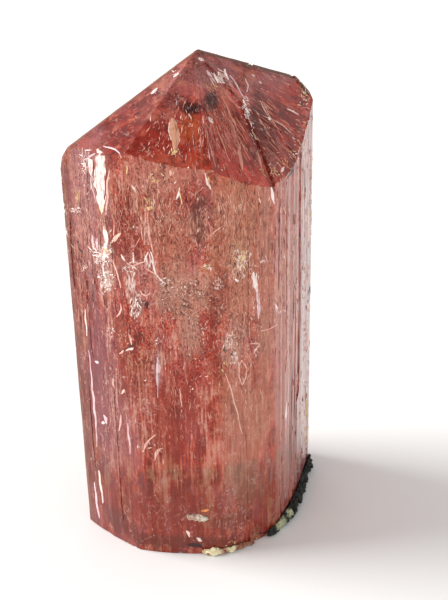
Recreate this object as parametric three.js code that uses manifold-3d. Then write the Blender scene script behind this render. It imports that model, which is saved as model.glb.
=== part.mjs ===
// A pinkish red topaz crystal standing on its broken lower end, in millimetres, +Z up.
// The front of the crystal, with its widest faces, looks towards -Y.

import * as THREE from 'three';
import { mergeVertices } from 'three/addons/utils/BufferGeometryUtils.js';
import Module from 'manifold-3d';

const wasm = await Module();
wasm.setup();

// Tip of the crystal, and a height that every raw solid passes
const tip = new THREE.Vector3(-1.45, 0, 32.82);
const rawHeight = 36;
const rawWidth = 60;

// Upright edges of the prism seen from above, anticlockwise from the left, and for the face that starts
// at each edge how far its middle bows out, the number of growth lines and how deep they are
const prismEdges = [
  { x: -9.93, y: -2.4, bow: 0.17, lines: 9, relief: 0.05 },
  { x: -6.1, y: -6.0, bow: 0.28, lines: 9, relief: 0.025 },
  { x: -0.2, y: -6.5, bow: 0.16, lines: 8, relief: 0.05 },
  { x: 3.25, y: -4.15, bow: 0.2, lines: 13, relief: 0.09 },
  { x: 5.05, y: -0.2, bow: 0.04, lines: 10, relief: 0.05 },
  { x: 6.22, y: 4.4, bow: 0.05, lines: 4, relief: 0.04 },
  { x: 5.0, y: 6.2, bow: 0.15, lines: 12, relief: 0.06 },
  { x: -1.6, y: 7.8, bow: 0.15, lines: 11, relief: 0.06 },
  { x: -7.4, y: 5.1, bow: 0.15, lines: 12, relief: 0.07 },
];

// Sloping faces of the pointed end. All but the back two pass through the tip, and those pass beyond it
// by the distance out. Slope is from level, and towards is the angle from +X that each face looks to.
const tipFaces = [
  { slope: 31.6, towards: -137.4, out: 0 },
  { slope: 39.5, towards: -80.4, out: 0 },
  { slope: 49.1, towards: -35.2, out: 0 },
  { slope: 43.4, towards: 102.6, out: 0.3 },
  { slope: 44.0, towards: 150.0, out: 0.09 },
];

// Small faces that cut corners: the rounded left shoulder, the back right corner of the top and a low
// chip at the back
const cornerFaces = [
  { at: [-9.43, -2.87, 27.65], slope: 56, towards: 172 },
  { at: [-9.76, -2.56, 27.05], slope: 76, towards: 175 },
  { at: [5.38, 4.82, 29.8], slope: 62, towards: 40 },
  { at: [-4.5, 6.3, 1.6], slope: 128, towards: 115 },
];

// Broken lower right edge, where the dark crust sits
const crustBevel = { at: [6.0, 3.0, 0.95], slope: 135, towards: -18 };
// Broken front edge of the base, where the cream crust sits
const creamBevel = { at: [0, -5.9, 0], slope: 135, towards: -70 };
const crustGap = 0.15;
const creamGap = 0.1;
const floorGap = 0.06;

// Pit low in the front face for the cream crumb: its middle, half length, half height and depth
const fleck = { x: -2.1, y: -6.5, z: 2.95, halfLength: 0.92, halfHeight: 0.32, depth: 0.36 };
const fleckGap = 0.08;

const topazRed = 0xb1655c;
const crustDark = 0x39382f;
const cream = 0xd9c9a6;

// Repeatable numbers from 0 to 1, so that the growth lines and chips always come out the same
function randomFrom(seed) {
  let state = seed;
  return () => {
    state = (state * 1664525 + 1013904223) % 4294967296;
    return state / 4294967296;
  };
}

function toSolid(geometry) {
  const bare = geometry.index ? geometry.toNonIndexed() : geometry.clone();
  bare.deleteAttribute('normal');
  bare.deleteAttribute('uv');
  const merged = mergeVertices(bare, 1e-5);
  const mesh = new wasm.Mesh({
    numProp: 3,
    vertProperties: new Float32Array(merged.attributes.position.array),
    triVerts: new Uint32Array(merged.index.array),
  });
  return new wasm.Manifold(mesh);
}

function toGeometry(solid) {
  const mesh = solid.getMesh();
  const geometry = new THREE.BufferGeometry();
  geometry.setAttribute('position', new THREE.BufferAttribute(mesh.vertProperties, 3));
  geometry.setIndex(new THREE.BufferAttribute(mesh.triVerts, 1));
  return geometry;
}

// Frame of a flat face: local X runs level along it, local Y runs up it and local Z points out of it
function faceFrame(at, slope, towards) {
  const tilt = THREE.MathUtils.degToRad(slope);
  const turn = THREE.MathUtils.degToRad(towards);
  const across = new THREE.Vector3(-Math.sin(turn), Math.cos(turn), 0);
  const level = Math.sin(tilt);
  const out = new THREE.Vector3(level * Math.cos(turn), level * Math.sin(turn), Math.cos(tilt));
  const up = new THREE.Vector3().crossVectors(out, across);
  return new THREE.Matrix4().makeBasis(across, up, out).setPosition(...at);
}

// Everything outside a flat face, as a block to cut away
function beyondFace({ at, slope, towards }, outwards = 0) {
  const block = new THREE.BoxGeometry(rawWidth, rawWidth, rawHeight);
  block.translate(0, 0, rawHeight / 2 + outwards);
  block.applyMatrix4(faceFrame(at, slope, towards));
  return toSolid(block);
}

// A flat plate with the given outline lying on a face, from depth under it to height over it
function plateOn(frame, outline, depth, height) {
  const shape = new THREE.Shape(outline.map(([x, y]) => new THREE.Vector2(x, y)));
  const plate = new THREE.ExtrudeGeometry(shape, { depth: depth + height, bevelEnabled: false });
  plate.translate(0, 0, -depth);
  plate.applyMatrix4(frame);
  return toSolid(plate);
}

// Section of the prism, moved outwards by grow. Each face bows out a little, and fine growth lines
// zigzag along it.
function prismOutline(grow = 0) {
  const random = randomFrom(7);
  const points = [];
  prismEdges.forEach((edge, index) => {
    const next = prismEdges[(index + 1) % prismEdges.length];
    const length = Math.hypot(next.x - edge.x, next.y - edge.y);
    const outX = (next.y - edge.y) / length;
    const outY = (edge.x - next.x) / length;
    points.push(new THREE.Vector2(edge.x, edge.y));
    for (let line = 1; line < edge.lines; line += 1) {
      const along = (line + 0.7 * (random() - 0.5)) / edge.lines;
      const proud = edge.bow * 4 * along * (1 - along) + edge.relief * (random() - 0.65);
      const x = edge.x + along * (next.x - edge.x) + outX * proud;
      const y = edge.y + along * (next.y - edge.y) + outY * proud;
      points.push(new THREE.Vector2(x, y));
    }
  });
  const middle = new THREE.Vector2(-1.8, 0.5);
  return points.map((point) => {
    const away = point.clone().sub(middle);
    return point.clone().add(away.setLength(grow * 1.15));
  });
}

function prism(grow = 0) {
  const shape = new THREE.Shape(prismOutline(grow));
  return toSolid(new THREE.ExtrudeGeometry(shape, { depth: rawHeight, bevelEnabled: false }));
}

// One face of the prism, numbered as in prismEdges: its frame from its lower left corner, and its width
function prismFace(index) {
  const edge = prismEdges[index];
  const next = prismEdges[(index + 1) % prismEdges.length];
  const towards = THREE.MathUtils.radToDeg(Math.atan2(edge.x - next.x, next.y - edge.y));
  const width = Math.hypot(next.x - edge.x, next.y - edge.y);
  return { frame: faceFrame([edge.x, edge.y, 0], 90, towards), width, bow: edge.bow };
}

// Long thin growth ledges with pointed ends, sunk into a prism face by sink to twice sink
function ledges(index, count, seed, sink, lowest = 0.5, highest = 27) {
  const random = randomFrom(seed);
  const { frame, width, bow } = prismFace(index);
  const cuts = [];
  for (let i = 0; i < count; i += 1) {
    const along = 0.08 + 0.84 * (i + random()) / count;
    const surface = bow * 4 * along * (1 - along);
    const x = width * along;
    const half = 0.05 + 0.11 * random();
    const bottom = lowest + (highest - lowest) * 0.75 * random();
    const top = Math.min(highest, bottom + 3 + 13 * random());
    const outline = [
      [x, bottom],
      [x + half, bottom + 0.9],
      [x + half, top - 1.6],
      [x + half * 0.3, top],
      [x - half, top - 2.4],
      [x - half, bottom + 0.6],
    ];
    cuts.push(plateOn(frame, outline, sink * (1 + random()) - surface, 0.6));
  }
  return cuts;
}

// A chip knocked out of the crystal: a faceted lump to cut away
function chip(at, size, random) {
  const lump = new THREE.IcosahedronGeometry(size, size > 0.45 ? 1 : 0);
  lump.scale(0.7 + 0.6 * random(), 0.7 + 0.6 * random(), 0.8 + 0.9 * random());
  lump.rotateX(6.28 * random());
  lump.rotateY(6.28 * random());
  lump.translate(...at);
  return toSolid(lump);
}

// Chips along a broken edge from one point to another
function chippedEdge(from, to, count, size, seed) {
  const random = randomFrom(seed);
  const cuts = [];
  for (let i = 0; i < count; i += 1) {
    const along = (i + 0.2 + 0.6 * random()) / count;
    const at = from.map((value, axis) => value + along * (to[axis] - value) + 0.3 * size * (random() - 0.5));
    cuts.push(chip(at, size * (0.5 + 0.7 * random()), random));
  }
  return cuts;
}

function chips() {
  return [
    // Jagged edge along the right of the top, seen against the light
    ...chippedEdge([0.7, 2.05, 32.0], [4.3, 4.6, 30.42], 9, 0.17, 11),
    chip([2.0, 2.85, 31.5], 0.3, randomFrom(9)),
    ...chippedEdge([4.55, 4.85, 30.35], [6.2, 4.3, 28.55], 7, 0.2, 12),
    // Rough edge between the sloping right face and the side
    ...chippedEdge([6.1, 3.7, 28.2], [5.1, -0.1, 26.9], 6, 0.24, 13),
    ...chippedEdge([5.15, -0.3, 26.85], [3.4, -4.1, 25.75], 8, 0.3, 14),
    // Sparkling step on the slope
    ...chippedEdge([0.2, -0.1, 31.2], [1.4, -0.6, 29.75], 4, 0.13, 22),
    ...chippedEdge([1.4, -0.6, 29.75], [2.4, -2.3, 27.7], 6, 0.14, 23),
    // Left upright edge
    ...chippedEdge([-10.0, -2.4, 26.0], [-10.0, -2.4, 21.5], 6, 0.14, 15),
    ...chippedEdge([-10.0, -2.4, 20.0], [-10.0, -2.4, 3.0], 7, 0.11, 16),
    // Rim of the broken base, all the way round
    ...chippedEdge([-9.5, -2.4, -0.05], [-6.3, -6.1, -0.08], 6, 0.26, 17),
    ...chippedEdge([-6.1, -6.15, -0.1], [-0.4, -6.6, -0.1], 9, 0.24, 18),
    ...chippedEdge([-7.6, 5.2, 0.1], [-9.8, -2.1, 0.1], 7, 0.42, 19),
    ...chippedEdge([4.9, 6.3, 0.1], [-1.5, 7.9, 0.1], 7, 0.5, 20),
    ...chippedEdge([-1.7, 7.8, 0.2], [-7.4, 5.2, 0.2], 6, 0.55, 21),
  ];
}

// Steps of the flat break under the back of the crystal, each with a jagged front edge
function baseSteps() {
  const down = faceFrame([0, 0, 0], 180, 90);
  const leftEdge = [[-11, 0.4], [-8.6, 0.9], [-7.1, 2.3], [-5.6, 1.8], [-3.8, 3.6], [-3.1, 5.4]];
  const rightEdge = [[1.9, 6.6], [3.1, 5.9], [3.4, 4.6], [4.7, 4.1], [5.2, 2.9], [8, 2.4]];
  const leftStep = [[-11, 9], ...leftEdge, [-1.4, 9]];
  const rightStep = [[8, 9], [1.2, 9], ...rightEdge];
  const flip = (outline) => outline.map(([x, y]) => [-x, y]);
  return [plateOn(down, flip(leftStep), 0.55, 1), plateOn(down, flip(rightStep), 0.35, 1)];
}

// Growth step of the pointed end. The part of the right slope next to the front slope stands a little
// lower, and the ragged step runs from near the tip to the front right edge of the prism.
function tipStep() {
  const { slope, towards } = tipFaces[2];
  const ridge = [[0.37, -0.83], [0.83, -2.14], [0.96, -3.1], [1.18, -4.02], [0.8, -4.9], [0.54, -5.78]];
  const lower = [[0.62, -6.3], [0.34, -6.76], [0.12, -7.6], [-0.2, -8.28], [-0.68, -9.52], [-1.2, -12]];
  const outline = [[-12, -1.4], ...ridge, ...lower, [-14, -12]];
  return plateOn(faceFrame(tip.toArray(), slope, towards), outline, 0.13, 1);
}

// The step that ends part of the way down the smooth right band
function bandStep() {
  const { frame } = prismFace(4);
  return plateOn(frame, [[-0.6, 8.3], [0.25, 8.6], [0.5, 9.6], [0.42, 27], [0.2, 30], [-0.6, 30]], 0.07, 1);
}

function fleckLump(grow) {
  const lump = new THREE.IcosahedronGeometry(1, 2);
  const random = randomFrom(31);
  const place = lump.attributes.position;
  const bumps = new Map();
  for (let i = 0; i < place.count; i += 1) {
    const key = [place.getX(i), place.getY(i), place.getZ(i)].map((v) => v.toFixed(3)).join();
    if (!bumps.has(key)) bumps.set(key, 0.82 + 0.3 * random());
    const size = bumps.get(key);
    place.setXYZ(i, place.getX(i) * size, place.getY(i) * size, place.getZ(i) * size);
  }
  lump.scale(fleck.halfLength + grow, fleck.depth + grow, fleck.halfHeight + grow);
  lump.rotateY(0.22);
  lump.translate(fleck.x, fleck.y, fleck.z);
  return toSolid(lump);
}

// Prism with its two broken low edges, which the crusts fit to
function bevelledPrism(grow, crustGrow, creamGrow) {
  return prism(grow)
    .subtract(beyondFace(crustBevel, crustGrow))
    .subtract(beyondFace(creamBevel, creamGrow));
}

function topazCrystal() {
  let solid = bevelledPrism(0, 0, 0);
  tipFaces.forEach((face) => {
    solid = solid.subtract(beyondFace({ at: tip.toArray(), ...face }, face.out));
  });
  cornerFaces.forEach((face) => {
    solid = solid.subtract(beyondFace(face));
  });
  const cuts = [
    tipStep(),
    bandStep(),
    ...ledges(0, 7, 41, 0.03),
    ...ledges(1, 4, 42, 0.02),
    ...ledges(2, 5, 43, 0.02),
    ...ledges(3, 9, 44, 0.035, 1.5, 25),
    ...ledges(4, 4, 45, 0.03, 1.5, 26),
    ...ledges(6, 8, 46, 0.05, 1.5, 26),
    ...ledges(7, 7, 47, 0.05, 2.5, 26),
    ...ledges(8, 8, 48, 0.05, 1.5, 26),
    ...chips(),
    ...baseSteps(),
    fleckLump(0),
  ];
  cuts.forEach((cut) => {
    solid = solid.subtract(cut);
  });
  const material = new THREE.MeshStandardMaterial({ color: topazRed, roughness: 0.12, metalness: 0 });
  return new THREE.Mesh(toGeometry(solid), material);
}

// Overlapping faceted lumps strung along a line, joined to one body
function lumpChain(path, count, size, stretch, seed) {
  const random = randomFrom(seed);
  const curve = new THREE.CatmullRomCurve3(path.map((point) => new THREE.Vector3(...point)));
  let chain = null;
  for (let i = 0; i < count; i += 1) {
    const at = curve.getPointAt(i / (count - 1));
    const lump = new THREE.IcosahedronGeometry(size * (0.75 + 0.4 * random()), 1);
    lump.scale(0.8 + 0.5 * random(), 0.8 + 0.5 * random(), stretch * (0.75 + 0.4 * random()));
    lump.rotateZ(6.28 * random());
    lump.rotateX(0.8 * random());
    const shake = () => 0.3 * size * (random() - 0.5);
    lump.translate(at.x + shake(), at.y + shake(), at.z + shake());
    const solid = toSolid(lump);
    chain = chain ? chain.add(solid) : solid;
  }
  return chain;
}

function aboveFloor(solid) {
  const floor = { at: [0, 0, floorGap], slope: 180, towards: 0 };
  return solid.subtract(beyondFace(floor));
}

function darkCrust() {
  const upper = [[5.95, 4.2, 0.55], [5.75, 2.9, 0.5], [5.45, 1.4, 0.5], [5.1, -0.1, 0.45]];
  const lower = [[4.6, -1.5, 0.42], [4.0, -2.8, 0.36], [3.4, -3.8, 0.28], [2.75, -4.45, 0.16]];
  const chain = lumpChain([...upper, ...lower], 22, 0.46, 1.0, 51);
  const solid = aboveFloor(chain.subtract(bevelledPrism(crustGap, crustGap, crustGap)));
  const material = new THREE.MeshStandardMaterial({ color: crustDark, roughness: 0.75, metalness: 0 });
  return new THREE.Mesh(toGeometry(solid), material);
}

function creamCrust() {
  const front = [[-1.5, -6.55, 0.15], [-0.7, -6.5, 0.18], [0.1, -6.3, 0.18]];
  const right = [[0.9, -5.85, 0.16], [1.5, -5.4, 0.14]];
  const chain = lumpChain([...front, ...right], 14, 0.37, 0.8, 52);
  const solid = aboveFloor(chain.subtract(bevelledPrism(creamGap, creamGap, creamGap)));
  const material = new THREE.MeshStandardMaterial({ color: cream, roughness: 0.8, metalness: 0 });
  return new THREE.Mesh(toGeometry(solid), material);
}

function creamFleck() {
  const material = new THREE.MeshStandardMaterial({ color: cream, roughness: 0.8, metalness: 0 });
  return new THREE.Mesh(toGeometry(fleckLump(-fleckGap)), material);
}

const pieces = {
  topaz_crystal: topazCrystal(),
  dark_crust: darkCrust(),
  cream_crust: creamCrust(),
  cream_fleck: creamFleck(),
};
const group = new THREE.Group();
Object.entries(pieces).forEach(([name, piece]) => {
  piece.name = name;
  group.add(piece);
});

// The origin is under the middle of the whole, on the surface it stands on
const box = new THREE.Box3().setFromObject(group);
const middle = box.getCenter(new THREE.Vector3());
group.position.set(-middle.x, -middle.y, -box.min.z);

export default group;
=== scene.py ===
import math
import random
import bmesh
import bpy
from mathutils import Matrix, Vector
from mathutils.bvhtree import BVHTree


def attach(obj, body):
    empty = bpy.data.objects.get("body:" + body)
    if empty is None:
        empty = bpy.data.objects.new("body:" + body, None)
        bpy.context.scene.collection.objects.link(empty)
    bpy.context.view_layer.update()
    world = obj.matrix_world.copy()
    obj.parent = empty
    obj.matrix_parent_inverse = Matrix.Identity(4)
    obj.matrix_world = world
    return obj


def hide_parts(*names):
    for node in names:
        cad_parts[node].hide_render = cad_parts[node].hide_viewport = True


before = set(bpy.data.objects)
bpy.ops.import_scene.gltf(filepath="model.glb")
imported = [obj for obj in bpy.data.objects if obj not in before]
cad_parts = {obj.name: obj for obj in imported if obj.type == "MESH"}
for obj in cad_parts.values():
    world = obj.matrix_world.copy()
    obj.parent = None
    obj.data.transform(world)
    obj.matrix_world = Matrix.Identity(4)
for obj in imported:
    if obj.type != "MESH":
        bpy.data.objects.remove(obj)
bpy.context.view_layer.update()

mm = 0.001

# The photo is 448 pixels wide and 600 high. Its camera stood close, a little above, with a slight roll.
photo = {
    "width": 448,
    "height": 600,
    "distance": 75.8 * mm,
    "pitch": 25.0,
    "roll": -1.24,
    "lens": 67.2,
    "sensor": 36.0,
    "target": Vector((1.756, -0.42, 16.0)) * mm,
    "clip": (1 * mm, 20.0),
}


def cameraStand():
    # The camera's place, and its right, up and forward directions
    pitch, roll = math.radians(photo["pitch"]), math.radians(photo["roll"])
    ahead = Vector((0, math.cos(pitch), -math.sin(pitch)))
    side = Vector((1, 0, 0))
    above = side.cross(ahead)
    right = side * math.cos(roll) + above * math.sin(roll)
    up = above * math.cos(roll) - side * math.sin(roll)
    return photo["target"] - ahead * photo["distance"], right, up, ahead


def makeCamera():
    place, right, up, ahead = cameraStand()
    data = bpy.data.cameras.new("photoCamera")
    data.lens = photo["lens"]
    data.sensor_width = photo["sensor"]
    data.clip_start, data.clip_end = photo["clip"]
    camera = bpy.data.objects.new("photoCamera", data)
    camera.matrix_world = Matrix((
        (right.x, up.x, -ahead.x, place.x),
        (right.y, up.y, -ahead.y, place.y),
        (right.z, up.z, -ahead.z, place.z),
        (0, 0, 0, 1),
    ))
    bpy.context.scene.collection.objects.link(camera)
    bpy.context.scene.camera = camera


def onSkin(skin, start, direction, lift):
    # Where a line meets the crystal, lifted off its face by so many mm, and which way the face looks
    place, normal, _, _ = skin.ray_cast(start, direction)
    if place is None:
        return None, None
    return place + normal * lift * mm, normal


def onPhoto(skin, px, py, lift=0.0):
    # Where the line of sight through a pixel of the photo meets the crystal
    start, right, up, ahead = cameraStand()
    scale = photo["sensor"] / photo["height"] / photo["lens"]
    across = (px - photo["width"] / 2) * scale
    down = (py - photo["height"] / 2) * scale
    return onSkin(skin, start, (ahead + right * across - up * down).normalized(), lift)


def linear(hexColour):
    # sRGB hex to a linear colour with full alpha
    channels = [int(hexColour[i:i + 2], 16) / 255 for i in (1, 3, 5)]
    return [c / 12.92 if c <= 0.04045 else ((c + 0.055) / 1.055) ** 2.4 for c in channels] + [1]


def addNode(tree, kind, links=None, **settings):
    # One node with its settings, and its inputs as values or as other nodes' outputs
    node = tree.nodes.new(kind)
    for name, value in settings.items():
        setattr(node, name, value)
    for socket, value in (links or {}).items():
        target = node.inputs[socket]
        if isinstance(value, bpy.types.NodeSocket):
            tree.links.new(value, target)
        else:
            target.default_value = value
    return node


def newMaterial(name):
    # A material with an empty tree, the tree, and the place that its patterns are drawn by
    material = bpy.data.materials.new(name)
    material.use_nodes = True
    tree = material.node_tree
    tree.nodes.clear()
    return material, tree, addNode(tree, "ShaderNodeTexCoord").outputs["Object"]


def drawnNoise(tree, place, across, up, detail=4.0, roughness=0.6):
    # Noise with features of the given width and height in mm
    scaled = addNode(tree, "ShaderNodeVectorMath", {
        0: place, 1: (1 / (across * mm), 1 / (across * mm), 1 / (up * mm))}, operation="MULTIPLY")
    noise = addNode(tree, "ShaderNodeTexNoise", {
        "Vector": scaled.outputs["Vector"], "Scale": 1.0, "Detail": detail, "Roughness": roughness})
    return noise.outputs["Fac"]


def weighted(tree, parts):
    # Sum of values, each times its weight
    total = 0.0
    for value, weight in parts:
        total = addNode(tree, "ShaderNodeMath", {0: value, 1: weight, 2: total},
                        operation="MULTIPLY_ADD").outputs["Value"]
    return total


def shown(tree, *parts):
    # How strongly something shows: its parts multiplied. A part is a value, or a pattern with its ramp,
    # which is the two levels that it runs between and what it gives at each.
    total = 1.0
    for part in parts:
        if isinstance(part, tuple):
            pattern, (low, high, atLow, atHigh) = part
            part = addNode(tree, "ShaderNodeMapRange", {
                "Value": pattern, "From Min": low, "From Max": high, "To Min": atLow, "To Max": atHigh},
                interpolation_type="SMOOTHSTEP").outputs["Result"]
        total = addNode(tree, "ShaderNodeMath", {0: total, 1: part}, operation="MULTIPLY").outputs["Value"]
    return total


def laidOver(tree, under, over, *parts, data="RGBA", blend="MIX"):
    # One colour or value laid over another, as strongly as the parts show
    return addNode(tree, "ShaderNodeMix", {"Factor": shown(tree, *parts), "A": under, "B": over},
                   data_type=data, blend_type=blend).outputs["Result"]


def surfaced(tree, uneven, relief, inputs):
    # Ends a material with a shader. Its relief is how strong it shows and how deep it is in mm.
    strength, depth = relief
    bump = addNode(tree, "ShaderNodeBump", {
        "Height": uneven, "Strength": strength, "Distance": depth * mm})
    shader = addNode(tree, "ShaderNodeBsdfPrincipled", {**inputs, "Normal": bump.outputs["Normal"]})
    return addNode(tree, "ShaderNodeOutputMaterial", {"Surface": shader.outputs["BSDF"]})


def newPiece(name, mesh, material=None):
    piece = bpy.data.objects.new(name, mesh)
    bpy.context.scene.collection.objects.link(piece)
    if material is not None:
        mesh.materials.clear()
        mesh.materials.append(material)
    return piece


def newTree(name, inputs):
    # Geometry Nodes tree that starts from a mesh and ends in a finish, with other inputs of the given kinds
    tree = bpy.data.node_groups.new(name, "GeometryNodeTree")
    for socket, kind in {"Start": "Geometry", **inputs, "Finish": "Material"}.items():
        tree.interface.new_socket(socket, in_out="INPUT", socket_type="NodeSocket" + kind)
    tree.interface.new_socket("Result", in_out="OUTPUT", socket_type="NodeSocketGeometry")
    return tree, addNode(tree, "NodeGroupInput").outputs


def endTree(tree, given, geometry):
    # Ends a Geometry Nodes tree with real mesh in its finish
    real = addNode(tree, "GeometryNodeRealizeInstances", {"Geometry": geometry})
    finished = addNode(tree, "GeometryNodeSetMaterial", {
        "Geometry": real.outputs["Geometry"], "Material": given["Finish"]})
    addNode(tree, "NodeGroupOutput", {"Result": finished.outputs["Geometry"]})
    return tree


def worked(holder, tree, inputs):
    # The mesh that a Geometry Nodes tree makes of an object, which is then taken away
    modifier = holder.modifiers.new(tree.name, "NODES")
    modifier.node_group = tree
    for item in tree.interface.items_tree:
        if item.item_type == "SOCKET" and item.in_out == "INPUT" and item.name in inputs:
            modifier[item.identifier] = inputs[item.name]
    evaluated = holder.evaluated_get(bpy.context.evaluated_depsgraph_get())
    mesh = bpy.data.meshes.new_from_object(evaluated)
    holder.modifiers.remove(modifier)
    bpy.data.objects.remove(holder)
    return mesh


# Studio: a pale floor that runs out of view, a large soft light from the left, and a surround that is
# pale near the floor and dimmer overhead, with the two heights of the sky that it changes between
studio = {
    "floorSize": 4.0,
    "floorBelow": 0.04 * mm,
    "floorColour": "#f1f0ee",
    "surroundLow": 1.26,
    "surroundHigh": 0.43,
    "surroundFrom": 0.1,
    "surroundTo": 0.9,
    "lightFrom": Vector((-1, 0.15, 0.56)),
    "lightSpread": 34.0,
    "lightStrength": 3.8,
}


def makeStudio():
    world = bpy.data.worlds.new("paleSurround")
    world.use_nodes = True
    tree = world.node_tree
    tree.nodes.clear()
    heading = addNode(tree, "ShaderNodeTexCoord").outputs["Generated"]
    height = addNode(tree, "ShaderNodeSeparateXYZ", {"Vector": heading}).outputs["Z"]
    strength = addNode(tree, "ShaderNodeMapRange", {
        "Value": height, "From Min": studio["surroundFrom"], "From Max": studio["surroundTo"],
        "To Min": studio["surroundLow"], "To Max": studio["surroundHigh"]}).outputs["Result"]
    glow = addNode(tree, "ShaderNodeBackground", {"Color": (1, 1, 1, 1), "Strength": strength})
    addNode(tree, "ShaderNodeOutputWorld", {"Surface": glow.outputs["Background"]})
    bpy.context.scene.world = world

    data = bpy.data.lights.new("softLight", "SUN")
    data.angle = math.radians(studio["lightSpread"])
    data.energy = studio["lightStrength"]
    light = bpy.data.objects.new("softLight", data)
    light.matrix_world = studio["lightFrom"].to_track_quat("Z", "Y").to_matrix().to_4x4()
    bpy.context.scene.collection.objects.link(light)

    half, low = studio["floorSize"] / 2, -studio["floorBelow"]
    corners = [(-half, -half, low), (half, -half, low), (half, half, low), (-half, half, low)]
    mesh = bpy.data.meshes.new("floor")
    mesh.from_pydata(corners, [], [(0, 1, 2, 3)])
    material, tree, _ = newMaterial("matteWhiteCard")  # smooth card, no shine
    shader = addNode(tree, "ShaderNodeBsdfPrincipled", {
        "Base Color": linear(studio["floorColour"]), "Roughness": 0.9, "Specular IOR Level": 0.1})
    addNode(tree, "ShaderNodeOutputMaterial", {"Surface": shader.outputs["BSDF"]})
    newPiece("floor", mesh, material)


# Topaz: glassy natural faces over a body that cracks and feathers make cloudy. Distances are in mm. A noise
# has the width and height of its features, and its detail and roughness where they aren't the usual ones.
topaz = {
    "ior": 1.62,
    "clear": 0.5,
    "absorbColour": (0.95, 0.3, 0.26, 1),
    "absorbPerMetre": 170.0,
    "glint": (1.0, 0.6, 0.52, 1),
    "cloud": (1.2, 4.5, 5.0),
    "fibre": (0.15, 2.4),
    "grain": (0.27, 0.34, 6.0, 0.75),
    "fine": (0.1, 0.14, 2.0),
    "mottle": (0.6, 1.4, 5.0),
    "wave": (0.7, 3.0, 2.0),
    "soft": (1.0, 1.2),
    "patch": (1.5, 3.4, 3.0),
    "crackle": (0.55, 0.9, 3.0),
    "tip": Vector((0.306, -0.42, 32.82)),
    "rays": 13.0,
    "rayLength": 4.0,
    "specksApart": 0.4,
    "relief": (0.7, 0.03),
    "tintRagged": 2.2,
    "tintEdge": (1.65, 2.35),
    "gold": "#c68a66",
    "mauve": "#bb6f72",
    # Painted shade multiplied into the faces that look left, towards the lamp
    "leftPaintedShade": "#d8c0bc",
    "deepRed": "#f6b3a2",
    # Painted shade for the sloping faces that face right, away from the lamp
    "slopeShadeRight": "#ff8068",
    "paleThread": "#edbda9",
    "paleRay": "#dc8468",
    "darkThread": "#54130c",
    "crackLine": "#f3cdbf",
    "speck": "#f3cbbb",
}
# Where the parts of that look show. Each ramp has two levels of a pattern, a direction or a place, and what
# it gives at each.
ramps = {
    "sloping": (0.3, 0.5, 0, 1),
    "behind": (-0.05, 0.15, 0, 1),
    "low": (6 * mm, 16 * mm, 1, 0),
    "rays": (-1.4 * mm, 0.8 * mm, 0, 1),
    "streaky": (0.3, 0.62, 0.25, 1),
    "streakyBehind": (0, 1, 1, 0.45),
    "tone": (0.402, 0.61, 0, 1),
    "toneAtFoot": (0.35, 0.66, 0.19, 0.66),
    "aboveFoot": (2 * mm, 9 * mm, 0, 1),
    "evenBehind": (0, 1, 0, 0.5),
    "gold": (0.92, 1.04, 0, 0.65),
    "mauve": (0.76, 0.88, 0.6, 0),
    "leftPaintedShade": (-0.85, -0.35, 1, 0),
    "shadeOnRightSlopes": (0.1, 0.4, 0, 1),
    "deepBelowTip": (28 * mm, 31 * mm, 1, 0.3),
    "calmLeft": (-0.85, -0.35, 0.55, 1),
    "calmTipLeft": (-3.5 * mm, 0.8 * mm, 0.3, 0.9),
    "calmFoot": (4 * mm, 18 * mm, 0.25, 1),
    "calmBehind": (0, 1, 1, 0.5),
    "paleThread": (0.53, 0.63, 0, 0.7),
    "darkThread": (0.39, 0.49, 0.8, 0),
    "darkAside": (0.4, 0.85, 1, 0.4),
    "texture": (0.4, 0.6, 0, 1),
    "textureRight": (0.4, 0.85, 0.28, 0.14),
    "textureAtFoot": (6 * mm, 18 * mm, 0.35, 1),
    "crackLine": (0.004, 0.016, 0.75, 0),
    "crackPlaces": (0.47, 0.56, 0, 1),
    "speckPlaces": (0.43, 0.47, 0, 1),
    "speckHeight": (6 * mm, 13 * mm, 0, 0.8),
    "speckEdge": (0.42, 0.54, 1, 0),
    "roughness": (0.35, 0.7, 0.02, 0.14),
}
# Body colour from the darkest red to the palest pink, each with its place on the scale
bodyColours = [(0.0, "#560f0a"), (0.28, "#a02d1f"), (0.5, "#c9563e"), (0.72, "#e08268"), (1.0, "#f9c6b1")]
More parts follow.
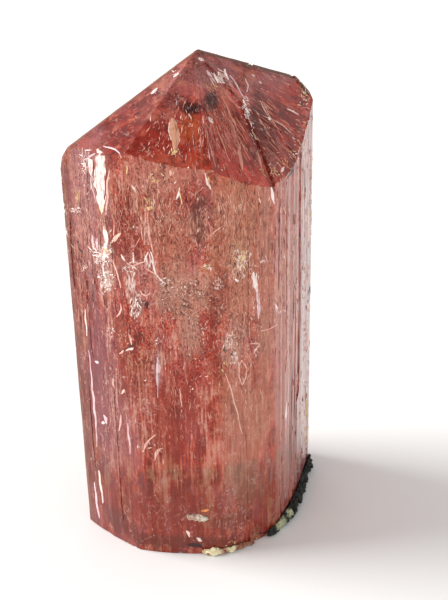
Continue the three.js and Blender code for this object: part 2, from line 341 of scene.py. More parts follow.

# Tinted parts of the body, some of them painted light (glows, sheens and reflections, marked below): a pixel
# of the photo in the middle of each, how far it reaches across, back and up in mm, its colour, how strongly
# it shows and what its edge looks like
tints = {
    # Mauve on the slopes: partly the crystal's own mauve, partly painted reflection of the pale surround
    "mauveSheenShoulder": ((148, 100), (3.2, 9.0, 1.2), "#b96a6a", 0.5, "soft"),
    "mauveSheenApex": ((214, 74), (1.5, 9.0, 0.7), "#c4747c", 0.7, "streaked"),
    "mauveSheenRightSlope": ((268, 86), (2.6, 9.0, 0.8), "#c07c80", 0.75, "soft"),
    "brownRightSlope": ((292, 128), (0.9, 9.0, 1.4), "#8a3520", 0.7, "streaked"),
    "maroonLeftTip": ((176, 97), (0.7, 9.0, 0.5), "#64180f", 0.88, "streaked"),
    "fibresUnderTip": ((226, 142), (1.5, 9.0, 1.5), "#b9543a", 0.5, "streaked"),
    "redUnderShoulder": ((135, 138), (3.4, 9.0, 0.9), "#a43428", 0.7, "soft"),
    "redTipFront": ((160, 146), (2.2, 9.0, 0.9), "#b0473a", 0.5, "soft"),
    # Partly painted reflection, like the mauve on the slopes above
    "mauveSheenUnderApex": ((190, 80), (2.2, 9.0, 1.1), "#bd7a76", 0.85, "soft"),
    "beigeLeftOfSpots": ((160, 112), (1.3, 9.0, 0.8), "#a85a50", 0.65, "streaked"),
    "goldRays": ((228, 128), (1.5, 9.0, 1.6), "#ad5c38", 0.65, "streaked"),
    "darkTipSpot": ((191, 109), (0.6, 9.0, 0.34), "#120403", 0.97, "streaked"),
    "darkTipSpotRight": ((211, 101), (0.5, 9.0, 0.44), "#1c0504", 0.93, "streaked"),
    # Painted glow: light reflected inside the crystal, laid on as tints
    "amberGlow": ((190, 130), (0.75, 9.0, 0.6), "#cf7a42", 0.8, "speckled"),
    "amberGlowLow": ((194, 158), (0.5, 9.0, 0.4), "#c4602e", 0.7, "speckled"),
    "redGlowRight": ((214, 150), (0.8, 9.0, 1.0), "#b9502e", 0.7, "streaked"),
    "darkBesideRidge": ((258, 120), (0.5, 9.0, 1.5), "#4e120c", 0.75, "streaked"),
    "darkRightSlope": ((264, 140), (1.3, 9.0, 2.0), "#5c100a", 0.85, "streaked"),
    "darkRightCorner": ((286, 166), (0.8, 9.0, 0.9), "#641b14", 0.8, "speckled"),
    # A painted sheen: the bright lilac-pink reflection on the upper left corner
    "lavenderSheenCorner": ((92, 140), (0.9, 9.0, 0.8), "#c08fa4", 0.75, "soft"),
    "pinkLeftFace": ((84, 205), (1.1, 2.2, 6.0), "#dfa9a8", 0.82, "streaked"),
    "redBesidePlate": ((128, 234), (0.95, 1.6, 3.0), "#98301f", 0.8, "streaked"),
    "salmonUnderRim": ((162, 176), (2.4, 1.6, 1.5), "#d6947e", 0.78, "speckled"),
    "redBelowRim": ((188, 205), (0.8, 1.4, 1.6), "#a2443a", 0.6, "soft"),
    "purpleSmudge": ((199, 222), (0.42, 1.2, 2.1), "#4f1e24", 0.8, "speckled"),
    "brownMiddle": ((172, 238), (1.4, 1.4, 2.2), "#c9856a", 0.78, "speckled"),
    "salmonUpperRight": ((236, 222), (1.9, 1.6, 4.2), "#cf9672", 0.8, "streaked"),
    "greyCrackBand": ((184, 292), (2.1, 1.4, 2.1), "#cda68e", 0.75, "speckled"),
    "greyCrackFoot": ((188, 334), (0.8, 1.4, 2.2), "#c9a18a", 0.8, "speckled"),
    "beigeMiddleRight": ((240, 296), (1.5, 1.4, 2.8), "#c9977a", 0.75, "speckled"),
    "orangeArc": ((122, 336), (0.8, 1.0, 1.1), "#b25a36", 0.7, "speckled"),
    "redColumn": ((212, 345), (0.36, 0.9, 3.0), "#a5301b", 0.85, "streaked"),
    "redHeart": ((170, 405), (2.6, 2.2, 4.2), "#a63c2e", 0.75, "streaked"),
    "greyPatch": ((158, 371), (0.28, 0.8, 1.3), "#bf9296", 0.8, "streaked"),
    # Mauve on the lower left face: partly its own tone, partly painted sheen
    "mauveSheenLowLeft": ((102, 390), (1.3, 2.2, 7.0), "#b4727c", 0.75, "streaked"),
    "paleTangle": ((232, 346), (0.8, 1.0, 1.8), "#dcae9c", 0.6, "speckled"),
    "beigeLowRight": ((243, 430), (1.7, 1.5, 5.6), "#d09a80", 0.75, "streaked"),
    "brownLowRight": ((252, 490), (1.2, 1.5, 1.6), "#ac6850", 0.6, "speckled"),
    "mauveSide": ((284, 330), (1.2, 3.0, 13.0), "#dfb3a8", 0.85, "streaked"),
    # A painted reflection: the pale lilac sheen of the right face, seen at a grazing angle
    "lilacReflectionBand": ((306, 300), (0.9, 6.0, 15.0), "#e4c3bf", 0.8, "soft"),
    "redFoot": ((165, 514), (4.6, 2.2, 1.8), "#a83a2a", 0.6, "speckled"),
    "brownFootRim": ((170, 541), (5.5, 3.0, 0.5), "#7a3526", 0.7, "speckled"),
    "brownFootRight": ((235, 520), (1.6, 2.5, 0.9), "#8c4230", 0.6, "speckled"),
    "featherHalo": ((101, 255), (0.95, 2.0, 1.3), "#d9a7a0", 0.8, "speckled"),
    "featherFootHalo": ((107, 279), (0.5, 2.0, 0.9), "#dcb3a6", 0.8, "speckled"),
    "middleHalo": ((131, 269), (1.0, 2.0, 1.0), "#c98c80", 0.6, "speckled"),
    "tangleHalo": ((137, 303), (0.5, 2.0, 1.2), "#cc968c", 0.7, "streaked"),
    "besidePlateHalo": ((87, 165), (0.6, 2.0, 1.2), "#c79298", 0.7, "speckled"),
    "plateHalo": ((101, 180), (0.7, 2.0, 3.0), "#cf968e", 0.7, "streaked"),
    "goldHalo": ((240, 258), (0.9, 2.0, 1.2), "#cfa37e", 0.6, "speckled"),
    "lowTangleHalo": ((232, 350), (0.7, 2.0, 1.4), "#d6a68f", 0.7, "speckled"),
    "salmonEdge": ((264, 300), (0.6, 3.0, 13.0), "#cf9c84", 0.75, "streaked"),
    "brownBesideBeige": ((222, 290), (0.8, 1.4, 1.6), "#9a4f3a", 0.65, "speckled"),
    "redLeftOfHeart": ((127, 388), (0.9, 2.0, 1.6), "#a04436", 0.6, "streaked"),
    "brownFootLeft": ((121, 520), (1.4, 2.5, 0.9), "#7a3024", 0.75, "speckled"),
    "pinkLowLeft": ((128, 438), (1.0, 2.2, 2.6), "#c07c82", 0.55, "streaked"),
    "leftRim": ((70, 250), (0.55, 1.5, 8.0), "#a2574a", 0.7, "streaked"),
    "leftRimLow": ((88, 430), (0.55, 1.5, 8.0), "#964a3e", 0.7, "streaked"),
}


def addTint(tree, place, edges, colour, skin, tint):
    at, reach, shade, strength, edge = tint
    middle, _ = onPhoto(skin, *at)
    away = addNode(tree, "ShaderNodeVectorMath", {0: place, 1: middle}, operation="SUBTRACT")
    scaled = addNode(tree, "ShaderNodeVectorMath", {
        0: away.outputs["Vector"], 1: [1 / (r * mm) for r in reach]}, operation="MULTIPLY")
    length = addNode(tree, "ShaderNodeVectorMath", {0: scaled.outputs["Vector"]}, operation="LENGTH")
    ragged = weighted(tree, [(edges[edge], topaz["tintRagged"]), (length.outputs["Value"], 1.0)])
    return laidOver(tree, colour, linear(shade), (ragged, (*topaz["tintEdge"], strength, 0)))


def tipRays(tree, place):
    # Streaks that run down the sloping faces from the tip
    away = addNode(tree, "ShaderNodeVectorMath", {0: place, 1: topaz["tip"] * mm}, operation="SUBTRACT")
    flat = addNode(tree, "ShaderNodeVectorMath", {0: away.outputs["Vector"], 1: (1, 1, 0)},
                   operation="MULTIPLY")
    heading = addNode(tree, "ShaderNodeVectorMath", {0: flat.outputs["Vector"]}, operation="NORMALIZE")
    fan = addNode(tree, "ShaderNodeVectorMath", {0: heading.outputs["Vector"], "Scale": topaz["rays"]},
                  operation="SCALE")
    down = addNode(tree, "ShaderNodeVectorMath", {
        0: away.outputs["Vector"], 1: (0, 0, 1 / (topaz["rayLength"] * mm))}, operation="MULTIPLY")
    vector = addNode(tree, "ShaderNodeVectorMath", {
        0: fan.outputs["Vector"], 1: down.outputs["Vector"]}, operation="ADD")
    return addNode(tree, "ShaderNodeTexNoise", {
        "Vector": vector.outputs["Vector"], "Scale": 1.0, "Detail": 4.0, "Roughness": 0.65,
        "Distortion": 0.5}).outputs["Fac"]


def topazMaterial(skin):
    # Natural crystal faces: glassy, striated upright, over a body full of streaks, specks and feathers
    material, tree, place = newMaterial("topazNaturalFaces")
    across, _, height = addNode(tree, "ShaderNodeSeparateXYZ", {"Vector": place}).outputs
    facing = addNode(tree, "ShaderNodeTexCoord").outputs["Normal"]
    right, back, up = addNode(tree, "ShaderNodeSeparateXYZ", {"Vector": facing}).outputs
    sideways = addNode(tree, "ShaderNodeMath", {0: right}, operation="ABSOLUTE").outputs["Value"]
    sloping = shown(tree, (up, ramps["sloping"]))
    behind = shown(tree, (back, ramps["behind"]))
    low = shown(tree, (height, ramps["low"]))

    cloud, upright, grain, fine, mottle, wave, soft = (
        drawnNoise(tree, place, *topaz[name])
        for name in ("cloud", "fibre", "grain", "fine", "mottle", "wave", "soft"))
    down = laidOver(tree, mottle, tipRays(tree, place), (across, ramps["rays"]), data="FLOAT")
    fibre = laidOver(tree, upright, down, sloping, data="FLOAT")
    edges = {"soft": soft, "speckled": mottle, "streaked": fibre}

    # The sides are striated, while the front is more grainy with patches of streaks
    patches = weighted(tree, [(cloud, 0.6), (sideways, 0.3), (sloping, 0.5), (low, 0.25)])
    streaky = shown(tree, (patches, ramps["streaky"]), (behind, ramps["streakyBehind"]))
    threads = laidOver(tree, fine, fibre, streaky, data="FLOAT")
    upper = weighted(tree, [(cloud, 0.3), (mottle, 0.3), (threads, 0.26), (grain, 0.14)])
    lower = weighted(tree, [(cloud, 0.42), (mottle, 0.24), (fibre, 0.28), (grain, 0.06)])
    value = laidOver(tree, upper, lower, low, data="FLOAT")
    tone, footTone = shown(tree, (value, ramps["tone"])), shown(tree, (value, ramps["toneAtFoot"]))
    tone = laidOver(tree, footTone, tone, (height, ramps["aboveFoot"]), data="FLOAT")
    tone = laidOver(tree, tone, 0.5, (behind, ramps["evenBehind"]), data="FLOAT")
    scale = addNode(tree, "ShaderNodeValToRGB", {"Fac": tone})
    for _ in bodyColours[2:]:
        scale.color_ramp.elements.new(0.5)
    for element, (at, shade) in zip(scale.color_ramp.elements, bodyColours):
        element.position, element.color = at, linear(shade)

    # Broad patches lean to gold or to mauve
    broad = drawnNoise(tree, place, *topaz["patch"])
    broad = weighted(tree, [(broad, 1.0), (fibre, 0.4), (grain, 0.4)])
    colour = laidOver(tree, scale.outputs["Color"], linear(topaz["gold"]), (broad, ramps["gold"]))
    colour = laidOver(tree, colour, linear(topaz["mauve"]), (broad, ramps["mauve"]))
    for tint in tints.values():
        colour = addTint(tree, place, edges, colour, skin, tint)

    # The faces that look left, towards the lamp, are darkened a little: painted shade that tempers the
    # lamp's light there
    colour = laidOver(tree, colour, linear(topaz["leftPaintedShade"]), (right, ramps["leftPaintedShade"]), blend="MULTIPLY")

    # The sloping faces are clearer and a deeper red; on those that face right, away from the lamp, the
    # deeper red is painted shade
    red, shadedRed = linear(topaz["deepRed"]), linear(topaz["slopeShadeRight"])
    slopeRedAndShade = laidOver(tree, red, shadedRed, (right, ramps["shadeOnRightSlopes"]))
    colour = laidOver(tree, colour, slopeRedAndShade, sloping, (height, ramps["deepBelowTip"]), blend="MULTIPLY")

    # The foot, the left faces, the left of the pointed end and the back are calmer than the rest
    left, tipLeft = shown(tree, (right, ramps["calmLeft"])), shown(tree, (across, ramps["calmTipLeft"]))
    lively = shown(tree, (height, ramps["calmFoot"]), laidOver(tree, left, tipLeft, sloping, data="FLOAT"),
                   (behind, ramps["calmBehind"]))

    # Lighter and darker threads and grains over the tints
    light = weighted(tree, [(threads, 0.6), (mottle, 0.25), (grain, 0.15)])
    pale = laidOver(tree, linear(topaz["paleThread"]), linear(topaz["paleRay"]), sloping)
    colour = laidOver(tree, colour, pale, (light, ramps["paleThread"]), lively)
    dark = weighted(tree, [(threads, 0.5), (mottle, 0.3), (grain, 0.2)])
    colour = laidOver(tree, colour, linear(topaz["darkThread"]), (dark, ramps["darkThread"]),
                      (sideways, ramps["darkAside"]), lively)

    # Fine light and dark all over, least on the pale right side and at the foot
    texture = weighted(tree, [(fine, 0.3), (grain, 0.4), (fibre, 0.3)])
    colour = laidOver(tree, colour, shown(tree, (texture, ramps["texture"])), (right, ramps["textureRight"]),
                      (height, ramps["textureAtFoot"]), blend="OVERLAY")

    # A net of hair-thin cracks, here and there, along one level of a noise
    crackle = drawnNoise(tree, place, *topaz["crackle"])
    level = addNode(tree, "ShaderNodeMath", {0: crackle, 1: 0.5}, operation="SUBTRACT").outputs["Value"]
    away = addNode(tree, "ShaderNodeMath", {0: level}, operation="ABSOLUTE").outputs["Value"]
    places = weighted(tree, [(grain, 0.5), (cloud, 0.5)])
    colour = laidOver(tree, colour, linear(topaz["crackLine"]), (away, ramps["crackLine"]),
                      (places, ramps["crackPlaces"]))

    # Pale specks where small fractures catch the light
    cells = addNode(tree, "ShaderNodeTexVoronoi", {
        "Vector": place, "Scale": 1 / (topaz["specksApart"] * mm)})
    chosen = addNode(tree, "ShaderNodeSeparateColor", {"Color": cells.outputs["Color"]})
    flat = addNode(tree, "ShaderNodeMath", {0: 1.0, 1: sloping}, operation="SUBTRACT").outputs["Value"]
    places = weighted(tree, [(cloud, 0.5), (chosen.outputs["Red"], 0.25)])
    edge = weighted(tree, [(cells.outputs["Distance"], 1.0), (fine, 0.5)])
    colour = laidOver(tree, colour, linear(topaz["speck"]), (places, ramps["speckPlaces"]), flat,
                      (height, ramps["speckHeight"]), (edge, ramps["speckEdge"]))

    uneven = weighted(tree, [(threads, 0.5), (grain, 0.15), (wave, 2.0)])
    ending = surfaced(tree, uneven, topaz["relief"], {
        "Base Color": colour, "Roughness": shown(tree, (grain, ramps["roughness"])), "IOR": topaz["ior"],
        "Transmission Weight": topaz["clear"], "Specular Tint": topaz["glint"]})
    depth = addNode(tree, "ShaderNodeVolumeAbsorption", {
        "Color": topaz["absorbColour"], "Density": topaz["absorbPerMetre"]})
    tree.links.new(depth.outputs["Volume"], ending.inputs["Volume"])
    return material


# Cleavage break on the underside. The faces that look down further than "facing" belong to it.
brokenBase = {"dark": "#7c2a1c", "pale": "#bb6a54", "paler": (0.38, 0.62, 0, 1), "rough": 0.65,
              "relief": (0.6, 0.05), "facing": -0.5}


def brokenBaseMaterial():
    # Dull and cloudy, so that no light comes in there
    material, tree, place = newMaterial("topazBrokenBase")
    grain = drawnNoise(tree, place, *topaz["grain"])
    dark, pale = linear(brokenBase["dark"]), linear(brokenBase["pale"])
    tone = laidOver(tree, dark, pale, (grain, brokenBase["paler"]))
    surfaced(tree, grain, brokenBase["relief"], {
        "Base Color": tone, "Roughness": brokenBase["rough"], "IOR": topaz["ior"]})
    return material


def mergedCopy(node, name):
    # A CAD node's mesh with its loose triangles joined
    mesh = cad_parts[node].data.copy()
    mesh.name = name
    work = bmesh.new()
    work.from_mesh(mesh)
    bmesh.ops.remove_doubles(work, verts=work.verts, dist=0.0005 * mm)
    return mesh, work


# Low swells and hollows of the grown faces, in mm: how deep, how wide and how tall they are, below what
# height they fade towards the ground, and how finely the faces are cut to carry them. Edges sharper than
# "edge", in degrees, stay sharp.
swell = {"depth": 0.07, "across": 0.9, "up": 3.2, "ground": 1.5, "cutUp": 1.55, "cutAcross": 1.9,
         "seed": 4.0, "edge": 12}


def reliefTree():
    # Cuts a mesh finer and moves its points in and out along a noise, less so close to the ground
    tree, given = newTree("relief", {
        "Cuts": "Int", "Depth": "Float", "Across": "Float", "Up": "Float", "Ground": "Float",
        "Seed": "Float"})
    cut = addNode(tree, "GeometryNodeSubdivideMesh", {"Mesh": given["Start"], "Level": given["Cuts"]})
    place = addNode(tree, "GeometryNodeInputPosition").outputs["Position"]
    size = addNode(tree, "ShaderNodeCombineXYZ", {
        "X": given["Across"], "Y": given["Across"], "Z": given["Up"]})
    scaled = addNode(tree, "ShaderNodeVectorMath", {0: place, 1: size.outputs["Vector"]}, operation="DIVIDE")
    noise = addNode(tree, "ShaderNodeTexNoise", {
        "Vector": scaled.outputs["Vector"], "W": given["Seed"], "Scale": 1.0, "Detail": 2.0},
        noise_dimensions="4D")
    level = addNode(tree, "ShaderNodeMath", {0: noise.outputs["Fac"], 1: 0.5}, operation="SUBTRACT")
    height = addNode(tree, "ShaderNodeSeparateXYZ", {"Vector": place}).outputs["Z"]
    ground = addNode(tree, "ShaderNodeMath", {0: height, 1: given["Ground"]}, operation="DIVIDE",
                     use_clamp=True)
    much = addNode(tree, "ShaderNodeMath", {0: level.outputs["Value"], 1: given["Depth"]},
                   operation="MULTIPLY")
    low = addNode(tree, "ShaderNodeMath", {
        0: much.outputs["Value"], 1: ground.outputs["Value"]}, operation="MULTIPLY")
    normal = addNode(tree, "GeometryNodeInputNormal").outputs["Normal"]
    move = addNode(tree, "ShaderNodeVectorMath", {0: normal, "Scale": low.outputs["Value"]},
                   operation="SCALE")
    moved = addNode(tree, "GeometryNodeSetPosition", {
        "Geometry": cut.outputs["Mesh"], "Offset": move.outputs["Vector"]})
    return endTree(tree, given, moved.outputs["Geometry"])


def relieved(name, mesh, material, **inputs):
    # A mesh with relief worked into its points
    shaped = worked(newPiece(name + "Plain", mesh), reliefTree(), {"Finish": material, **inputs})
    shaped.name = name
    return newPiece(name, shaped, material)


def sliceMesh(work, stepAcross, stepUp):
    # Cuts every long triangle at even distances, so that it can carry relief
    for axis, step in ((2, stepUp), (0, stepAcross), (1, stepAcross)):
        low = min(v.co[axis] for v in work.verts)
        high = max(v.co[axis] for v in work.verts)
        normal = [1.0 if i == axis else 0.0 for i in range(3)]
        for i in range(1, int((high - low) / (step * mm)) + 1):
            at = [(low + i * step * mm) if k == axis else 0.0 for k in range(3)]
            everything = work.verts[:] + work.edges[:] + work.faces[:]
            bmesh.ops.bisect_plane(work, geom=everything, plane_co=at, plane_no=normal, dist=0.002 * mm)
    bmesh.ops.triangulate(work, faces=work.faces)


def makeCrystal():
    mesh, work = mergedCopy("topaz_crystal", "topazCrystal")
    skin = BVHTree.FromBMesh(work)
    material = topazMaterial(skin)
    sliceMesh(work, swell["cutAcross"], swell["cutUp"])
    work.to_mesh(mesh)
    work.free()
    crystal = relieved("topazCrystal", mesh, material, Cuts=1, Depth=swell["depth"] * mm,
                       Ground=swell["ground"] * mm, Across=swell["across"] * mm, Up=swell["up"] * mm,
                       Seed=swell["seed"])
    crystal.data.shade_smooth()
    crystal.data.set_sharp_from_angle(angle=math.radians(swell["edge"]))
    crystal.data.materials.append(brokenBaseMaterial())
    for face in crystal.data.polygons:
        if face.normal.z < brokenBase["facing"]:
            face.material_index = 1
    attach(crystal, "root")
    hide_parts("topaz_crystal")
    final = bmesh.new()
    final.from_mesh(crystal.data)
    skin = BVHTree.FromBMesh(final)
    final.free()
    return crystal, skin


# Fracture colours, from the lightest to the darkest
fractureColours = {
    "white": "#fcebe3",
    "pearl": "#f3d9d1",
    "rosy": "#eab9a9",
    "salmon": "#eab59f",
    "lavender": "#e0bfc2",
    "peach": "#efc3b0",
    "flesh": "#d59b7c",
    "dusty": "#cf8a74",
    "amber": "#eed093",
    "olive": "#4c3a1e",
    "bark": "#7c4e36",
    "maroon": "#7c2418",
    "orange": "#ee9a50",
    "dark": "#3a100f",
}

